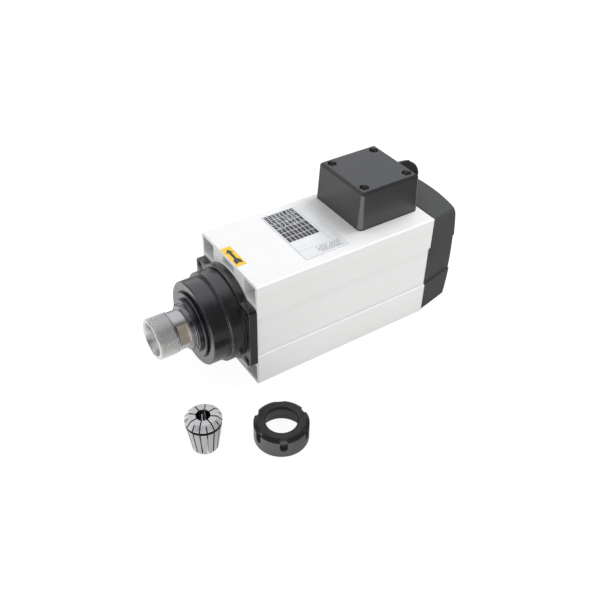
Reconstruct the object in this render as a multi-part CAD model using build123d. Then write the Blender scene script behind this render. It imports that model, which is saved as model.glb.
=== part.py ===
from build123d import *
import math
import os

# Air-cooled motor spindle with a collet nose. Millimetres throughout.
# X runs across the housing, Y from the nose to the fan, and Z up from the base.
# The origin is the middle of the four tapped holes in the base.

# Clearances
seat_gap = 0.01
screw_gap = 0.05
cover_gap = 0.3
running_gap = 0.3
head_gap = 0.25
shaft_clearance = 1.0

# Shared details
edge_chamfer = 0.5
tap_runout = 2.0
socket_share = 0.55
overrun = 1.0

# Housing extrusion
body_width = 100.0
body_height = 118.0
body_length = 203.0
body_corner = 1.5
side_wall = 4.0
bore_wall = 3.8
outer_wall = 2.8
bar_inner = 9.7
bar_outer = 28.3
middle_floor_wall = 5.5
nub_rise = 8.5
nub_size = 1.5
band_depth = 2.0
band_half_height = 23.3
axis_height = body_height / 2
front_y = -body_length / 2
rear_y = body_length / 2
bar_middle = (bar_inner + bar_outer) / 2
stator_bore = body_width / 2 - band_depth - side_wall

# Tapped holes in the base
base_hole_pitch = 120.0
base_hole_radius = 3.4
base_hole_depth = 15.0

# Fasteners: shank radius, head radius and head height
flange_bolt = (2.5, 4.25, 5.0)
small_screw = (2.0, 3.5, 3.0)
cover_screw = (1.75, 3.0, 2.5)
bolt_edge = 6.5
bolt_rise = 28.5
bolt_reach = 12.0
bolt_x = body_width / 2 - bolt_edge

# Bearings, with shares of a ring's depth or of the ball for their inner form
front_bore, front_width = 20.0, 15.0
rear_bore, rear_outer, rear_width = 12.5, 26.0, 15.0
bearing_share = 7 / 12
bearing_spacer = 5.0
spacer_wall = 4.0
bearing_land = 0.2
ball_share = 0.3
groove_lip = 0.9
groove_floor = 0.6
cage_reach = 0.35
belt_shoulder = 0.75
belt_crown = 0.45
front_outer = front_bore + bearing_share * (stator_bore - front_bore)

# Front bearing housing, with lengths along the axis
flange_thickness = 8.0
flange_inset = 2.5
ear_margin = 5.5
ear_corner = 4.5
ear_fillet = 3.0
counterbore_radius = 4.9
counterbore_depth = 5.2
cap_wall = 7.4
step_height = 3.2
step_length = 14.8
cap_length = 17.5
lip_thickness = 4.3
lip_height = 2.5
lip_chamfer = 1.8
cap_chamfer = 0.9
relief_width = 0.8
spigot_length = 6.0
retainer_flange = 4.0
retainer_margin = 2.0
retainer_wall = 3.0
retainer_bore = front_outer - retainer_wall
retainer_screw_radius = (front_outer + stator_bore - retainer_margin) / 2
lip_bore = front_outer - lip_height
cap_radius = front_outer + cap_wall
step_radius = cap_radius + step_height
cap_front = front_y - flange_thickness - step_length - cap_length
stack_front = cap_front + lip_thickness
stack_rear = stack_front + 2 * front_width + bearing_spacer
spigot_rear = front_y + spigot_length

# Rotating parts at the nose
labyrinth_gap = 0.7
labyrinth_thickness = 2.0
labyrinth_overlap = 0.1
labyrinth_lip_gap = 0.6
labyrinth_lip_depth = 2.6
ring_nut_radius = 26.6
ring_nut_thickness = 3.8
ring_nut_hole = 1.6
ring_nut_holes = 4
ring_nut_hole_depth = 2.5
ring_nut_groove = 1.2
ring_nut_relief = 0.8
ring_nut_turn = 45.0
collar_radius = 21.5
collar_length = 3.7
neck_radius = 18.7
neck_length = 11.8
flat_distance = 16.0
flat_margin = 0.6
flat_angle = 22.0
thread_ring_radius = 19.6
thread_ring_length = 1.5
undercut_radius = 18.6
undercut_length = 0.7
nose_radius = 20.0
nose_thread_length = 17.5
nose_chamfer = 1.3
shaft_seat = 22.0
shoulder_radius = 24.5
labyrinth_radius = lip_bore + labyrinth_overlap
labyrinth_front = cap_front - labyrinth_gap - labyrinth_thickness
ring_nut_front = labyrinth_front - ring_nut_thickness
neck_rear = ring_nut_front - collar_length
neck_front = neck_rear - neck_length
undercut_rear = neck_front - thread_ring_length
thread_rear = undercut_rear - undercut_length
nose_front = thread_rear - nose_thread_length

# Collet socket in the nose
socket_mouth = 16.0
socket_rim = 0.5
socket_half_angle = 8.0
socket_taper_length = 32.0
socket_relief_radius = 10.5
socket_relief_length = 10.0
drill_point = 0.5

# Shaft behind the front bearings
lock_nut_share = 8 / 11
lock_nut_slots = 4
lock_nut_slot_width = 5.0
lock_nut_slot_depth = 2.5
rotor_seat = 19.0
rear_shoulder = 16.0
rear_shoulder_length = 12.0
rear_seat_margin = 1.0
fan_seat = 10.0
shaft_tail = 2.5
lock_nut_radius = front_bore + lock_nut_share * (retainer_bore - front_bore)

# Electric parts
stator_start = 38.0
stator_length = 110.0
rotor_share = 8 / 25
air_gap = 0.5
slot_count = 24
slot_width = 3.4
slot_share = 10 / 17
slot_mouth = 1.5
end_turn_length = 20.0
slot_liner = 0.2
end_ring_length = 8.0
end_ring_gap = 0.5
end_ring_step = 1.0
stator_inner = rotor_seat + rotor_share * (stator_bore - rotor_seat)
slot_depth = slot_share * (stator_bore - stator_inner)
rotor_radius = stator_inner - air_gap
stator_front = front_y + stator_start
stator_rear = stator_front + stator_length

# Rear bearing plate
plate_thickness = 8.0
plate_hub_wall = 5.0
plate_hub_length = 15.0
plate_web = 4.0
plate_clearance = 0.5
plate_spigot_wall = 6.0
plate_bolt_edge = 4.5
plate_bolt_rise = 30.0
washer_thickness = 2.0
washer_width = 4.0

# Fan and its cover
cover_length = 40.6
cover_wall = 2.5
dome_share = 0.6
cover_rise = 0.8
cover_corner = 3.0
cover_rear_corner = 7.0
cover_side_draft = 2.0
cover_bottom_draft = 8.0
cover_plan_radius = 178.0
cover_side_radius = 348.0
cover_band_lift = 9.3
cover_band_top_lift = 4.7
column_radius = 4.3
column_rib = 2.4
column_z = 12.0
column_seat = 30.0
grille_y = 35.5
grille_hub = 11.0
grille_slots = 5
grille_slot = 3.0
grille_rib = 2.2
grille_spokes = 6
grille_spoke = 2.4
grille_margin = 3.0
fan_tip_gap = 2.0
fan_hub = 15.0
fan_length = 16.0
fan_start = 11.0
fan_blades = 7
blade_root_depth = 1.5
fan_blade_thickness = 1.8
fan_root_chord = 16.0
fan_tip_chord = 19.0
fan_root_pitch = 48.0
fan_tip_pitch = 30.0
key_width = 4.0
key_length = 12.0
clip_thickness = 1.2
clip_groove = 1.0
clip_rise = 2.5
clip_play = 0.1
clip_opening = 6.0
plate_half_width = body_width / 2 - band_depth - cover_wall - 2 * plate_clearance
plate_bolt_x = plate_half_width - plate_bolt_edge
plate_rear = rear_y + plate_thickness
plate_step = plate_rear - plate_web
rear_bearing_front = plate_step - washer_thickness - rear_width
column_x = plate_bolt_x
fan_radius = math.hypot(column_x, column_z) - column_radius - fan_tip_gap
fan_front = rear_y + fan_start
fan_rear = fan_front + fan_length

# Junction box on top of the housing
box_width = 75.0
box_length = 72.5
box_height = 40.0
box_x = -8.5
box_rear_margin = 3.6
box_corner = 5.0
box_draft = 3.0
box_bevel = 2.5
box_wall = 3.0
box_roof = 4.0
gasket_thickness = 1.0
gasket_width = 4.5
gasket_least_corner = 0.5
box_base_thickness = 4.0
box_base_corner = 2.0
box_screw_x = 26.0
box_screw_y = 25.5
box_post_radius = 6.2
box_post_gap = 0.2
box_counterbore = 4.75
box_counterbore_depth = 5.0
wire_hole_radius = 7.0
base_screw_spread = 11.0
base_screw_depth = 8.0
block_size = (36.0, 14.0, 15.0)
block_offset = 23.0
stud_pitch = 12.0
stud_radius = 2.0
stud_height = 5.0
stud_nut_radius = 3.2
stud_nut_height = 1.6
stud_nut_lift = 0.2
box_y = rear_y - box_rear_margin - box_length / 2
box_floor = body_height + gasket_thickness
box_top = body_height + box_height

# Cable gland in the box's rear wall
gland_thread = 10.0
gland_hex = 12.0
gland_flange = 5.0
gland_stub = 10.0
gland_inner_stub = 11.0
gland_nut_length = 10.0
gland_dome_length = 6.0
gland_dome_radius = 8.5
gland_dome_wall = 2.2
gland_dome_lip = 0.8
gland_dome_cone = 3.6
gland_dome_step = 1.5
gland_dome_inset = 0.8
gland_nut_bevel = (1.6, 1.2)
gland_nut_gap = 0.3
gland_play = 0.1
gland_bore = 7.5
cable_radius = 4.5
seal_inset = 1.5
seal_cone = 3.0
seal_wall = 2.5
gland_boss = 14.8
gland_boss_height = 0.6
gland_boss_depth = 3.0
gland_locknut_height = 4.0
gland_y = box_y + box_length / 2 + gland_boss_height
gland_z = body_height + box_height / 2
gland_wall_front = gland_y - gland_boss_height - box_wall - gland_boss_depth
gland_nut_start = gland_y + gland_flange + gland_nut_gap
gland_shoulder = gland_nut_start + gland_nut_length
gland_end = gland_shoulder + gland_dome_length
gland_stub_end = gland_y + gland_flange + gland_stub

# Plate and label on top of the housing
plate_size = (80.5, 48.5, 0.5)
plate_x = -1.2
plate_from_front = 59.5
plate_corner = 1.5
label_size = (31.0, 10.3, 0.2)
label_x = -1.0
label_from_front = 1.0

# Collet nut, taken off and standing on the base plane
nut_x, nut_from_front = 115.5, -15.6
nut_radius = 25.0
nut_height = 21.0
nut_edge = 0.6
nut_bevel = (3.5, 2.9)
nut_thread = 20.1
nut_thread_depth = 13.0
nut_recess = 17.3
nut_recess_length = 1.5
nut_mouth = 14.3
nut_mouth_chamfer = 1.0
nut_slots = 6
nut_slot_width = 6.9
nut_slot_depth = 3.0
nut_slot_low = 11.0
nut_hole_depth = 4.0
nut_turn = 32.4

# Collet, taken off and standing on its small end
collet_x, collet_from_front = 87.8, -77.7
collet_length = 38.5
collet_radius = 16.5
collet_face_radius = 12.4
collet_cone_length = 4.3
collet_land_length = 0.7
collet_groove_radius = 13.9
collet_groove_length = 3.7
collet_body_radius = 16.2
collet_foot_chamfer = 0.8
collet_bore = 6.0
collet_bore_chamfer = 0.7
collet_slits = 8
collet_slit = 1.1
collet_bridge = 3.0
collet_slit_end = 0.4
collet_slant_depth = 10.0
collet_turn = 6.0


def turned(*points):
    """Ring or shaft on the spindle axis, from its half section as (radius, y) points."""
    half_section = make_face(Polyline(*points, close=True))
    return Pos(0, 0, axis_height) * revolve(half_section, Axis.Y)


def ring(inner, outer, start, end):
    """Plain ring on the spindle axis."""
    return turned((inner, start), (outer, start), (outer, end), (inner, end))


def rod(radius, start, end, x=0.0, z=axis_height):
    """Cylinder along Y."""
    return Pos(x, (start + end) / 2, z) * Rot(90, 0, 0) * Cylinder(radius, end - start)


def slab(outline, start, end, z=axis_height):
    """Outline drawn across X and Z, carried along Y."""
    plane = Plane(origin=(0, end, z), x_dir=(1, 0, 0), z_dir=(0, -1, 0))
    return extrude(plane * outline, end - start)


def block(low, high):
    """Box between two corners."""
    size = [b - a for a, b in zip(low, high)]
    middle = [(a + b) / 2 for a, b in zip(low, high)]
    return Pos(*middle) * Box(*size)


def post(radius, low, high, x=0.0, y=0.0):
    """Cylinder along Z."""
    return Pos(x, y, (low + high) / 2) * Cylinder(radius, high - low)


def four(x, z):
    """Four places about the spindle axis, as (x, z) from the axis."""
    return [(sx * x, sz * z) for sx in (-1, 1) for sz in (-1, 1)]


def screw(sizes, length):
    """Socket screw with its head above Z = 0 and its shank below."""
    shank, head, height = sizes
    body = post(head, 0, height) + post(shank, -length, 0)
    socket = extrude(RegularPolygon(shank, 6), height * socket_share)
    return body - Pos(0, 0, height * (1 - socket_share)) * socket


def group(solids):
    """Several separate solids kept in one node."""
    return Compound(children=[s.solid() if hasattr(s, "solid") else s for s in solids])


def channel(low_x, high_x, low_z, high_z):
    """One air channel of the profile."""
    middle = Pos((low_x + high_x) / 2, (low_z + high_z) / 2)
    return middle * Rectangle(high_x - low_x, high_z - low_z)


def housing_profile():
    """Extruded section: round bore, air channels, solid bars and shallow side bands."""
    top = body_height / 2 - outer_wall
    side = body_width / 2 - outer_wall
    corner_floor = math.sqrt((stator_bore + bore_wall) ** 2 - bar_outer**2)
    profile = RectangleRounded(body_width, body_height, body_corner) - Circle(stator_bore)
    for up in (0, 180):
        turn = Rot(0, 0, up)
        middle = channel(-bar_inner, bar_inner, stator_bore + middle_floor_wall, top)
        profile -= turn * middle
        for mirror_x in (-1, 1):
            low, high = sorted((mirror_x * bar_outer, mirror_x * side))
            corner = channel(low, high, corner_floor, top)
            nub_x = mirror_x * (bar_outer + nub_size / 2)
            nub = Pos(nub_x, corner_floor + nub_rise) * Rectangle(nub_size, nub_size)
            profile -= turn * (corner - nub)
        band = Pos(body_width / 2, 0) * Rectangle(2 * band_depth, 2 * band_half_height)
        profile -= turn * band
    return profile


def housing_extrusion():
    """Aluminium profile that carries everything, with its tapped holes."""
    body = slab(housing_profile(), front_y, rear_y)
    tapped = flange_bolt[0] + screw_gap
    for x, z in four(bolt_x, bolt_rise):
        body -= rod(tapped, front_y, front_y + bolt_reach + tap_runout, x, axis_height + z)
    for x, z in four(plate_bolt_x, plate_bolt_rise):
        body -= rod(tapped, rear_y - bolt_reach - tap_runout, rear_y, x, axis_height + z)
    for x, y in four(bar_middle, base_hole_pitch / 2):
        body -= post(base_hole_radius, 0, base_hole_depth, x, y)
    small_tapped = small_screw[0] + screw_gap
    for x, y in base_screw_places():
        body -= post(small_tapped, body_height - base_screw_depth - tap_runout, body_height, x, y)
    return body - post(wire_hole_radius, axis_height, body_height, 0, box_y)


def flange_outline(half_width, half_ear, radius):
    """Round flange joined to a wide bar that reaches the bolt places."""
    outline = RectangleRounded(2 * half_width, 2 * half_ear, ear_corner) + Circle(radius)
    outline &= Rectangle(2 * half_width, 2 * radius)
    meet = math.sqrt(radius**2 - half_ear**2)
    corners = [
        v for v in outline.vertices()
        if abs(abs(v.X) - meet) < 0.01 and abs(abs(v.Y) - half_ear) < 0.01
    ]
    return fillet(corners, ear_fillet)


def front_bearing_housing():
    """Black bearing housing with its stepped barrel, flange and spigot."""
    step_front = front_y - flange_thickness - step_length
    barrel = turned(
        (0, spigot_rear),
        (stator_bore - seat_gap, spigot_rear),
        (stator_bore - seat_gap, front_y - flange_thickness),
        (step_radius - relief_width, front_y - flange_thickness),
        (step_radius - relief_width, front_y - flange_thickness - relief_width),
        (step_radius, front_y - flange_thickness - relief_width),
        (step_radius, step_front + cap_chamfer),
        (step_radius - cap_chamfer, step_front),
        (cap_radius, step_front),
        (cap_radius, cap_front + cap_chamfer),
        (cap_radius - cap_chamfer, cap_front),
        (0, cap_front),
    )
    outline = flange_outline(body_width / 2, bolt_rise + ear_margin, body_width / 2 - flange_inset)
    housing = barrel + slab(outline, front_y - flange_thickness, front_y)
    housing -= turned(
        (0, cap_front),
        (lip_bore + lip_chamfer, cap_front),
        (lip_bore, cap_front + lip_chamfer),
        (lip_bore, stack_front),
        (front_outer + seat_gap, stack_front),
        (front_outer + seat_gap, spigot_rear),
        (0, spigot_rear),
    )
    sink = front_y - flange_thickness + counterbore_depth
    for x, z in four(bolt_x, bolt_rise):
        height = axis_height + z
        housing -= rod(flange_bolt[0] + screw_gap, front_y - flange_thickness, front_y, x, height)
        housing -= rod(counterbore_radius, front_y - flange_thickness, sink, x, height)
    small_tapped = small_screw[0] + screw_gap
    for x, z in retainer_places():
        housing -= rod(small_tapped, front_y - tap_runout, spigot_rear, x, axis_height + z)
    return housing


def front_housing_bolts():
    """Four socket screws that hold the bearing housing to the profile."""
    sink = front_y - flange_thickness + counterbore_depth
    length = front_y + bolt_reach - sink
    one = Rot(90, 0, 0) * screw(flange_bolt, length)
    return group([Pos(x, sink, axis_height + z) * one for x, z in four(bolt_x, bolt_rise)])


def retainer_places():
    """Four screw places on the bearing retainer, as (x, z) from the axis."""
    reach = retainer_screw_radius / math.sqrt(2)
    return four(reach, reach)


def bearing_retainer():
    """Inner cover that presses the front outer rings against the lip."""
    flange_end = spigot_rear + retainer_flange
    outer = stator_bore - retainer_margin
    nose = front_outer - seat_gap
    cover = turned(
        (retainer_bore, stack_rear),
        (nose, stack_rear),
        (nose, spigot_rear),
        (outer, spigot_rear),
        (outer, flange_end),
        (retainer_bore, flange_end),
    )
    for x, z in retainer_places():
        radius = small_screw[0] + screw_gap
        cover -= rod(radius, spigot_rear, flange_end, x, axis_height + z)
    return cover


def bearing_retainer_screws():
    """Four short screws through the bearing retainer."""
    seat = spigot_rear + retainer_flange
    one = Rot(-90, 0, 0) * screw(small_screw, seat - front_y)
    return group([Pos(x, seat, axis_height + z) * one for x, z in retainer_places()])


def outer_ring(bore, outer, width, start):
    """Outer bearing ring with its ball groove."""
    depth = outer - bore
    middle, ball = (outer + bore) / 2, ball_share * depth
    land, floor = middle + bearing_land * depth, middle + ball + running_gap
    y = start + width / 2
    return turned(
        (land, start), (outer, start), (outer, start + width), (land, start + width),
        (land, y + groove_lip * ball), (floor, y + groove_floor * ball),
        (floor, y - groove_floor * ball), (land, y - groove_lip * ball),
    )


def inner_ring(bore, outer, width, start):
    """Inner bearing ring with its ball groove."""
    depth = outer - bore
    middle, ball = (outer + bore) / 2, ball_share * depth
    land, floor = middle - bearing_land * depth, middle - ball - running_gap
    y = start + width / 2
    return turned(
        (bore + seat_gap, start), (land, start),
        (land, y - groove_lip * ball), (floor, y - groove_floor * ball),
        (floor, y + groove_floor * ball), (land, y + groove_lip * ball),
        (land, start + width), (bore + seat_gap, start + width),
    )


def ball_belt(bore, outer, width, start):
    """Balls and cage of one bearing, as the belt that they sweep between the rings."""
    depth = outer - bore
    middle, ball = (outer + bore) / 2, ball_share * depth
    thin = bearing_land * depth - running_gap
    y = start + width / 2
    half = [
        (middle + thin, cage_reach * width),
        (middle + thin, belt_shoulder * ball),
        (middle + ball, belt_crown * ball),
    ]
    side = [(radius, y - reach) for radius, reach in half]
    side += [(radius, y + reach) for radius, reach in reversed(half)]
    back = [(2 * middle - radius, place) for radius, place in reversed(side)]
    return turned(*side, *back)


def front_bearing_starts():
    """Where each front bearing begins along the axis."""
    return [stack_front, stack_front + front_width + bearing_spacer]


def front_set(make):
    """Both front bearings' rings of one kind."""
    return group([make(front_bore, front_outer, front_width, y) for y in front_bearing_starts()])


def spacer(inner, outer):
    """Spacer ring between the two front bearings."""
    start = stack_front + front_width
    return ring(inner, outer, start, start + bearing_spacer)


def shaft_outline():
    """Half section of the shaft from the nose to the fan, as (radius, y) points."""
    shoulder = cap_front + labyrinth_lip_depth
    rotor_end = rear_bearing_front - rear_shoulder_length
    bearing_end = rear_bearing_front + rear_width + rear_seat_margin
    return [
        (nose_radius - nose_chamfer, nose_front), (nose_radius, nose_front + nose_chamfer),
        (nose_radius, thread_rear), (undercut_radius, thread_rear), (undercut_radius, undercut_rear),
        (thread_ring_radius, undercut_rear), (thread_ring_radius, neck_front),
        (neck_radius, neck_front), (neck_radius, neck_rear),
        (collar_radius, neck_rear), (collar_radius, ring_nut_front), (shaft_seat, ring_nut_front),
        (shaft_seat, shoulder), (shoulder_radius, shoulder), (shoulder_radius, stack_front),
        (front_bore, stack_front), (front_bore, spigot_rear), (rotor_seat, spigot_rear),
        (rotor_seat, rotor_end), (rear_shoulder, rotor_end), (rear_shoulder, rear_bearing_front),
        (rear_bore, rear_bearing_front), (rear_bore, bearing_end), (fan_seat, bearing_end),
        (fan_seat, fan_rear + shaft_tail), (0, fan_rear + shaft_tail), (0, nose_front),
    ]


def socket():
    """Tapered collet socket with its relief."""
    slope = math.tan(math.radians(socket_half_angle))
    deep = nose_front + socket_taper_length
    relief_end = deep + socket_relief_length
    return turned(
        (0, nose_front - overrun),
        (socket_mouth + socket_rim + overrun, nose_front - overrun),
        (socket_mouth, nose_front + socket_rim),
        (socket_mouth - socket_taper_length * slope, deep),
        (socket_relief_radius, deep),
        (socket_relief_radius, relief_end),
        (0, relief_end + drill_point * socket_relief_radius),
    )


def wrench_flats():
    """Two flats on the neck for a spanner."""
    start, end = neck_front + flat_margin, neck_rear - flat_margin
    cuts = []
    for side in (0, 180):
        face = block((flat_distance, start, -nose_radius), (nose_radius + overrun, end, nose_radius))
        cuts.append(Pos(0, 0, axis_height) * Rot(0, -flat_angle + side, 0) * face)
    return cuts


def spindle_shaft():
    """One-piece shaft with thread seat, spanner flats, collet socket and fan seat."""
    shaft = turned(*shaft_outline()) - socket()
    for cut in wrench_flats():
        shaft -= cut
    groove = ring(fan_seat - clip_groove, fan_seat + overrun, fan_rear, fan_rear + clip_thickness + clip_play)
    return shaft - groove - fan_key_slot()


def labyrinth_ring():
    """Thrower ring that shields the front bearing."""
    rear = cap_front - labyrinth_gap
    lip = lip_bore - labyrinth_lip_gap
    inner = cap_front + labyrinth_lip_depth
    return turned(
        (shaft_seat + seat_gap, labyrinth_front),
        (labyrinth_radius - edge_chamfer, labyrinth_front),
        (labyrinth_radius, labyrinth_front + edge_chamfer),
        (labyrinth_radius, rear),
        (lip, rear),
        (lip, inner),
        (shaft_seat + seat_gap, inner),
    )


def ring_nut():
    """Ring nut with holes for a face spanner."""
    front = ring_nut_front
    hole_radius = (ring_nut_radius + shaft_seat) / 2
    nut = turned(
        (shaft_seat + seat_gap, front + ring_nut_groove),
        (shaft_seat + ring_nut_relief, front + ring_nut_groove),
        (shaft_seat + ring_nut_relief, front),
        (ring_nut_radius - edge_chamfer, front),
        (ring_nut_radius, front + edge_chamfer),
        (ring_nut_radius, labyrinth_front),
        (shaft_seat + seat_gap, labyrinth_front),
    )
    for n in range(ring_nut_holes):
        angle = math.radians(flat_angle + ring_nut_turn + n * 360 / ring_nut_holes)
        x, z = hole_radius * math.cos(angle), hole_radius * math.sin(angle)
        nut -= rod(ring_nut_hole, front, front + ring_nut_hole_depth, x, axis_height + z)
    return nut


def bearing_lock_nut():
    """Slotted nut that clamps the front inner rings."""
    nut = ring(front_bore + seat_gap, lock_nut_radius, stack_rear, spigot_rear)
    for n in range(lock_nut_slots):
        cut = block(
            (lock_nut_radius - lock_nut_slot_depth, stack_rear, -lock_nut_slot_width / 2),
            (lock_nut_radius + overrun, spigot_rear, lock_nut_slot_width / 2),
        )
        nut -= Pos(0, 0, axis_height) * Rot(0, n * 360 / lock_nut_slots, 0) * cut
    return nut


def slot_bars(width, low, high, start, end):
    """Radial bars, one for each stator slot."""
    bars = []
    for n in range(slot_count):
        bar = block((low, start, -width / 2), (high, end, width / 2))
        bars.append(Pos(0, 0, axis_height) * Rot(0, n * 360 / slot_count, 0) * bar)
    return bars


def stator_core():
    """Laminated stack with its winding slots."""
    core = ring(stator_inner, stator_bore - seat_gap, stator_front, stator_rear)
    low = stator_inner + slot_mouth
    return core - slot_bars(slot_width, low, low + slot_depth, stator_front, stator_rear)


def stator_windings():
    """Windings in the slots, with the end turns at both ends."""
    low = stator_inner + slot_mouth + slot_liner
    high = low + slot_depth - 2 * slot_liner
    front = ring(low, high, stator_front - end_turn_length, stator_front)
    rear = ring(low, high, stator_rear, stator_rear + end_turn_length)
    bars = slot_bars(
        slot_width - 2 * slot_liner, low + slot_liner, high - slot_liner,
        stator_front - overrun, stator_rear + overrun,
    )
    return front + rear + bars


def rotor_core():
    """Rotor stack pressed on the shaft."""
    return ring(rotor_seat + seat_gap, rotor_radius, stator_front, stator_rear)


def rotor_end_rings():
    """Cast rings at both ends of the rotor."""
    inner, outer = rotor_seat + end_ring_gap, rotor_radius - end_ring_step
    return group([
        ring(inner, outer, stator_front - end_ring_length, stator_front),
        ring(inner, outer, stator_rear, stator_rear + end_ring_length),
    ])


def rear_bearing_plate():
    """Rear plate with the floating bearing's pocket."""
    radius = body_width / 2 - flange_inset
    outline = flange_outline(plate_half_width, plate_bolt_rise + ear_margin, radius)
    front = rear_y - plate_hub_length
    plate = slab(outline, rear_y, plate_rear)
    plate += ring(stator_bore - plate_spigot_wall, stator_bore - seat_gap, rear_y - spigot_length, rear_y)
    plate += rod(rear_outer + plate_hub_wall, front, rear_y)
    plate -= rod(rear_outer + seat_gap, front, plate_step)
    plate -= rod(rear_bore + shaft_clearance, plate_step, plate_rear)
    for x, z in four(plate_bolt_x, plate_bolt_rise):
        plate -= rod(flange_bolt[0] + screw_gap, rear_y, plate_rear, x, axis_height + z)
    for x, z in four(column_x, column_z):
        plate -= rod(cover_screw[0] + screw_gap, rear_y, plate_rear, x, axis_height + z)
    return plate


def rear_plate_bolts():
    """Four socket screws that hold the rear plate."""
    one = Rot(-90, 0, 0) * screw(flange_bolt, plate_thickness + bolt_reach)
    places = four(plate_bolt_x, plate_bolt_rise)
    return group([Pos(x, plate_rear, axis_height + z) * one for x, z in places])


def preload_washer():
    """Spring washer that loads the rear bearing."""
    outer = rear_outer - seat_gap
    return ring(outer - washer_width, outer, plate_step - washer_thickness, plate_step)


def cover_dome(inset):
    """Space in front of the cover's domed rear, drawn in by an inset."""
    crown = rear_y + cover_length - inset
    reach = dome_share * body_width
    sag = cover_plan_radius - math.sqrt(cover_plan_radius**2 - reach**2)
    start = rear_y - overrun
    plan = make_face([
        Line((-reach, start), (reach, start)),
        Line((reach, start), (reach, crown - sag)),
        ThreePointArc((reach, crown - sag), (0, crown), (-reach, crown - sag)),
        Line((-reach, crown - sag), (-reach, start)),
    ])
    hinge = Axis((0, crown - cover_side_radius, 0), (1, 0, 0))
    half_angle = math.degrees(math.asin(dome_share * body_height / (cover_side_radius - cover_length)))
    dome = revolve(plan, hinge, 2 * half_angle).rotate(hinge, -half_angle)
    return Pos(0, 0, axis_height) * dome


def cover_form(inset):
    """Solid form of the fan cover, drawn in by an inset on every side."""
    width, height = body_width - 2 * inset, body_height - 2 * inset
    front = Pos(0, cover_rise) * RectangleRounded(width, height, cover_corner)
    rear_outline = RectangleRounded(
        width - 2 * cover_side_draft, height - cover_bottom_draft, cover_rear_corner
    )
    rear = Pos(0, cover_rise + cover_bottom_draft / 2) * rear_outline
    form = loft([across(rear_y) * front, across(rear_y + cover_length) * rear], ruled=True)
    form &= cover_dome(inset)
    slope = math.atan(cover_side_draft / cover_length)
    low, top = -band_half_height - inset, band_half_height + inset
    band = make_face(Polyline(
        (0, low), (cover_length, low + cover_band_lift), (cover_length, top + cover_band_top_lift),
        (0, top), close=True,
    ))
    depth = body_width / 2 - band_depth - inset
    plane = Plane(
        origin=(depth, rear_y, axis_height),
        x_dir=(-math.sin(slope), math.cos(slope), 0),
        z_dir=(math.cos(slope), math.sin(slope), 0),
    )
    cut = extrude(plane * band, 4 * band_depth)
    return form - cut - mirror(cut, Plane.YZ)


def across(y):
    """Plane across the spindle axis at y, drawn with X and Z."""
    return Plane(origin=(0, y, axis_height), x_dir=(1, 0, 0), z_dir=(0, -1, 0))


def grille_reach():
    """Outer radius of the fan grille's slots."""
    return grille_hub + grille_slots * (grille_slot + grille_rib) - grille_rib


def grille_outline():
    """Ring slots of the fan grille, parted by straight spokes."""
    slots = Sketch()
    for n in range(grille_slots):
        inner = grille_hub + n * (grille_slot + grille_rib)
        slots += Circle(inner + grille_slot) - Circle(inner)
    for n in range(grille_spokes // 2):
        slots -= Rot(0, 0, n * 360 / grille_spokes) * Rectangle(2 * body_width, grille_spoke)
    return slots


def fan_cover_cavity():
    """Room inside the fan cover, round its screw columns and their ribs."""
    beyond = rear_y + cover_length + overrun
    column_start = plate_rear + cover_gap
    recess = rod(grille_reach() + grille_margin + cover_wall, rear_y + grille_y - cover_wall, beyond)
    solid = [recess]
    for x, z in four(column_x, column_z):
        height = axis_height + z
        solid.append(rod(column_radius, column_start, beyond, x, height))
        ends = sorted((x, math.copysign(body_width / 2, x)))
        solid.append(block(
            (ends[0], column_start, height - column_rib / 2), (ends[1], beyond, height + column_rib / 2)
        ))
    return cover_form(cover_wall) - solid


def fan_cover():
    """Moulded fan cover with domed rear, grille and screw columns."""
    outside = rear_y + grille_y
    beyond = rear_y + cover_length + overrun
    cuts = [
        rod(grille_reach() + grille_margin, outside, beyond),
        slab(grille_outline(), outside - cover_wall - overrun, outside + overrun),
        block((-body_width, rear_y - overrun, -overrun), (body_width, rear_y + cover_gap, 2 * body_height)),
    ]
    for x, z in four(column_x, column_z):
        height = axis_height + z
        cuts.append(rod(cover_screw[0] + screw_gap, rear_y, beyond, x, height))
        cuts.append(rod(cover_screw[1] + head_gap, rear_y + column_seat, beyond, x, height))
    return cover_form(0) - fan_cover_cavity() - cuts


def fan_cover_screws():
    """Four long screws through the cover's columns into the rear plate."""
    seat = rear_y + column_seat
    one = Rot(-90, 0, 0) * screw(cover_screw, column_seat)
    return group([Pos(x, seat, axis_height + z) * one for x, z in four(column_x, column_z)])


def fan_blade():
    """One twisted blade, standing along X from the hub to the tip."""
    root = (fan_hub - blade_root_depth, fan_root_chord, fan_root_pitch)
    tip = (fan_radius, fan_tip_chord, fan_tip_pitch)
    middle = [(a + b) / 2 for a, b in zip(root, tip)]
    sections = []
    for radius, chord, pitch in (root, middle, tip):
        plane = Plane(origin=(radius, 0, 0), x_dir=(0, 1, 0), z_dir=(1, 0, 0))
        sections.append(plane * (Rot(0, 0, 90 - pitch) * Rectangle(chord, fan_blade_thickness)))
    return loft(sections, ruled=True)


def fan_impeller():
    """Axial fan that blows along the profile's air channels."""
    fan = rod(fan_hub, fan_front, fan_rear)
    middle = Pos(0, (fan_front + fan_rear) / 2, axis_height)
    for n in range(fan_blades):
        fan += middle * Rot(0, n * 360 / fan_blades, 0) * fan_blade()
    fan -= rod(fan_seat + seat_gap, fan_front, fan_rear)
    return fan - fan_key_slot()


def fan_key_slot():
    """Keyway shared by the shaft and the fan hub."""
    half = key_width / 2
    low = (-half, fan_front, axis_height + fan_seat - half)
    return block(low, (half, fan_front + key_length, axis_height + fan_seat + half))


def fan_key():
    """Parallel key between the shaft and the fan."""
    half = key_width / 2 - seat_gap
    low = (-half, fan_front + seat_gap, axis_height + fan_seat - half)
    return block(low, (half, fan_front + key_length - seat_gap, axis_height + fan_seat + half))


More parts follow.
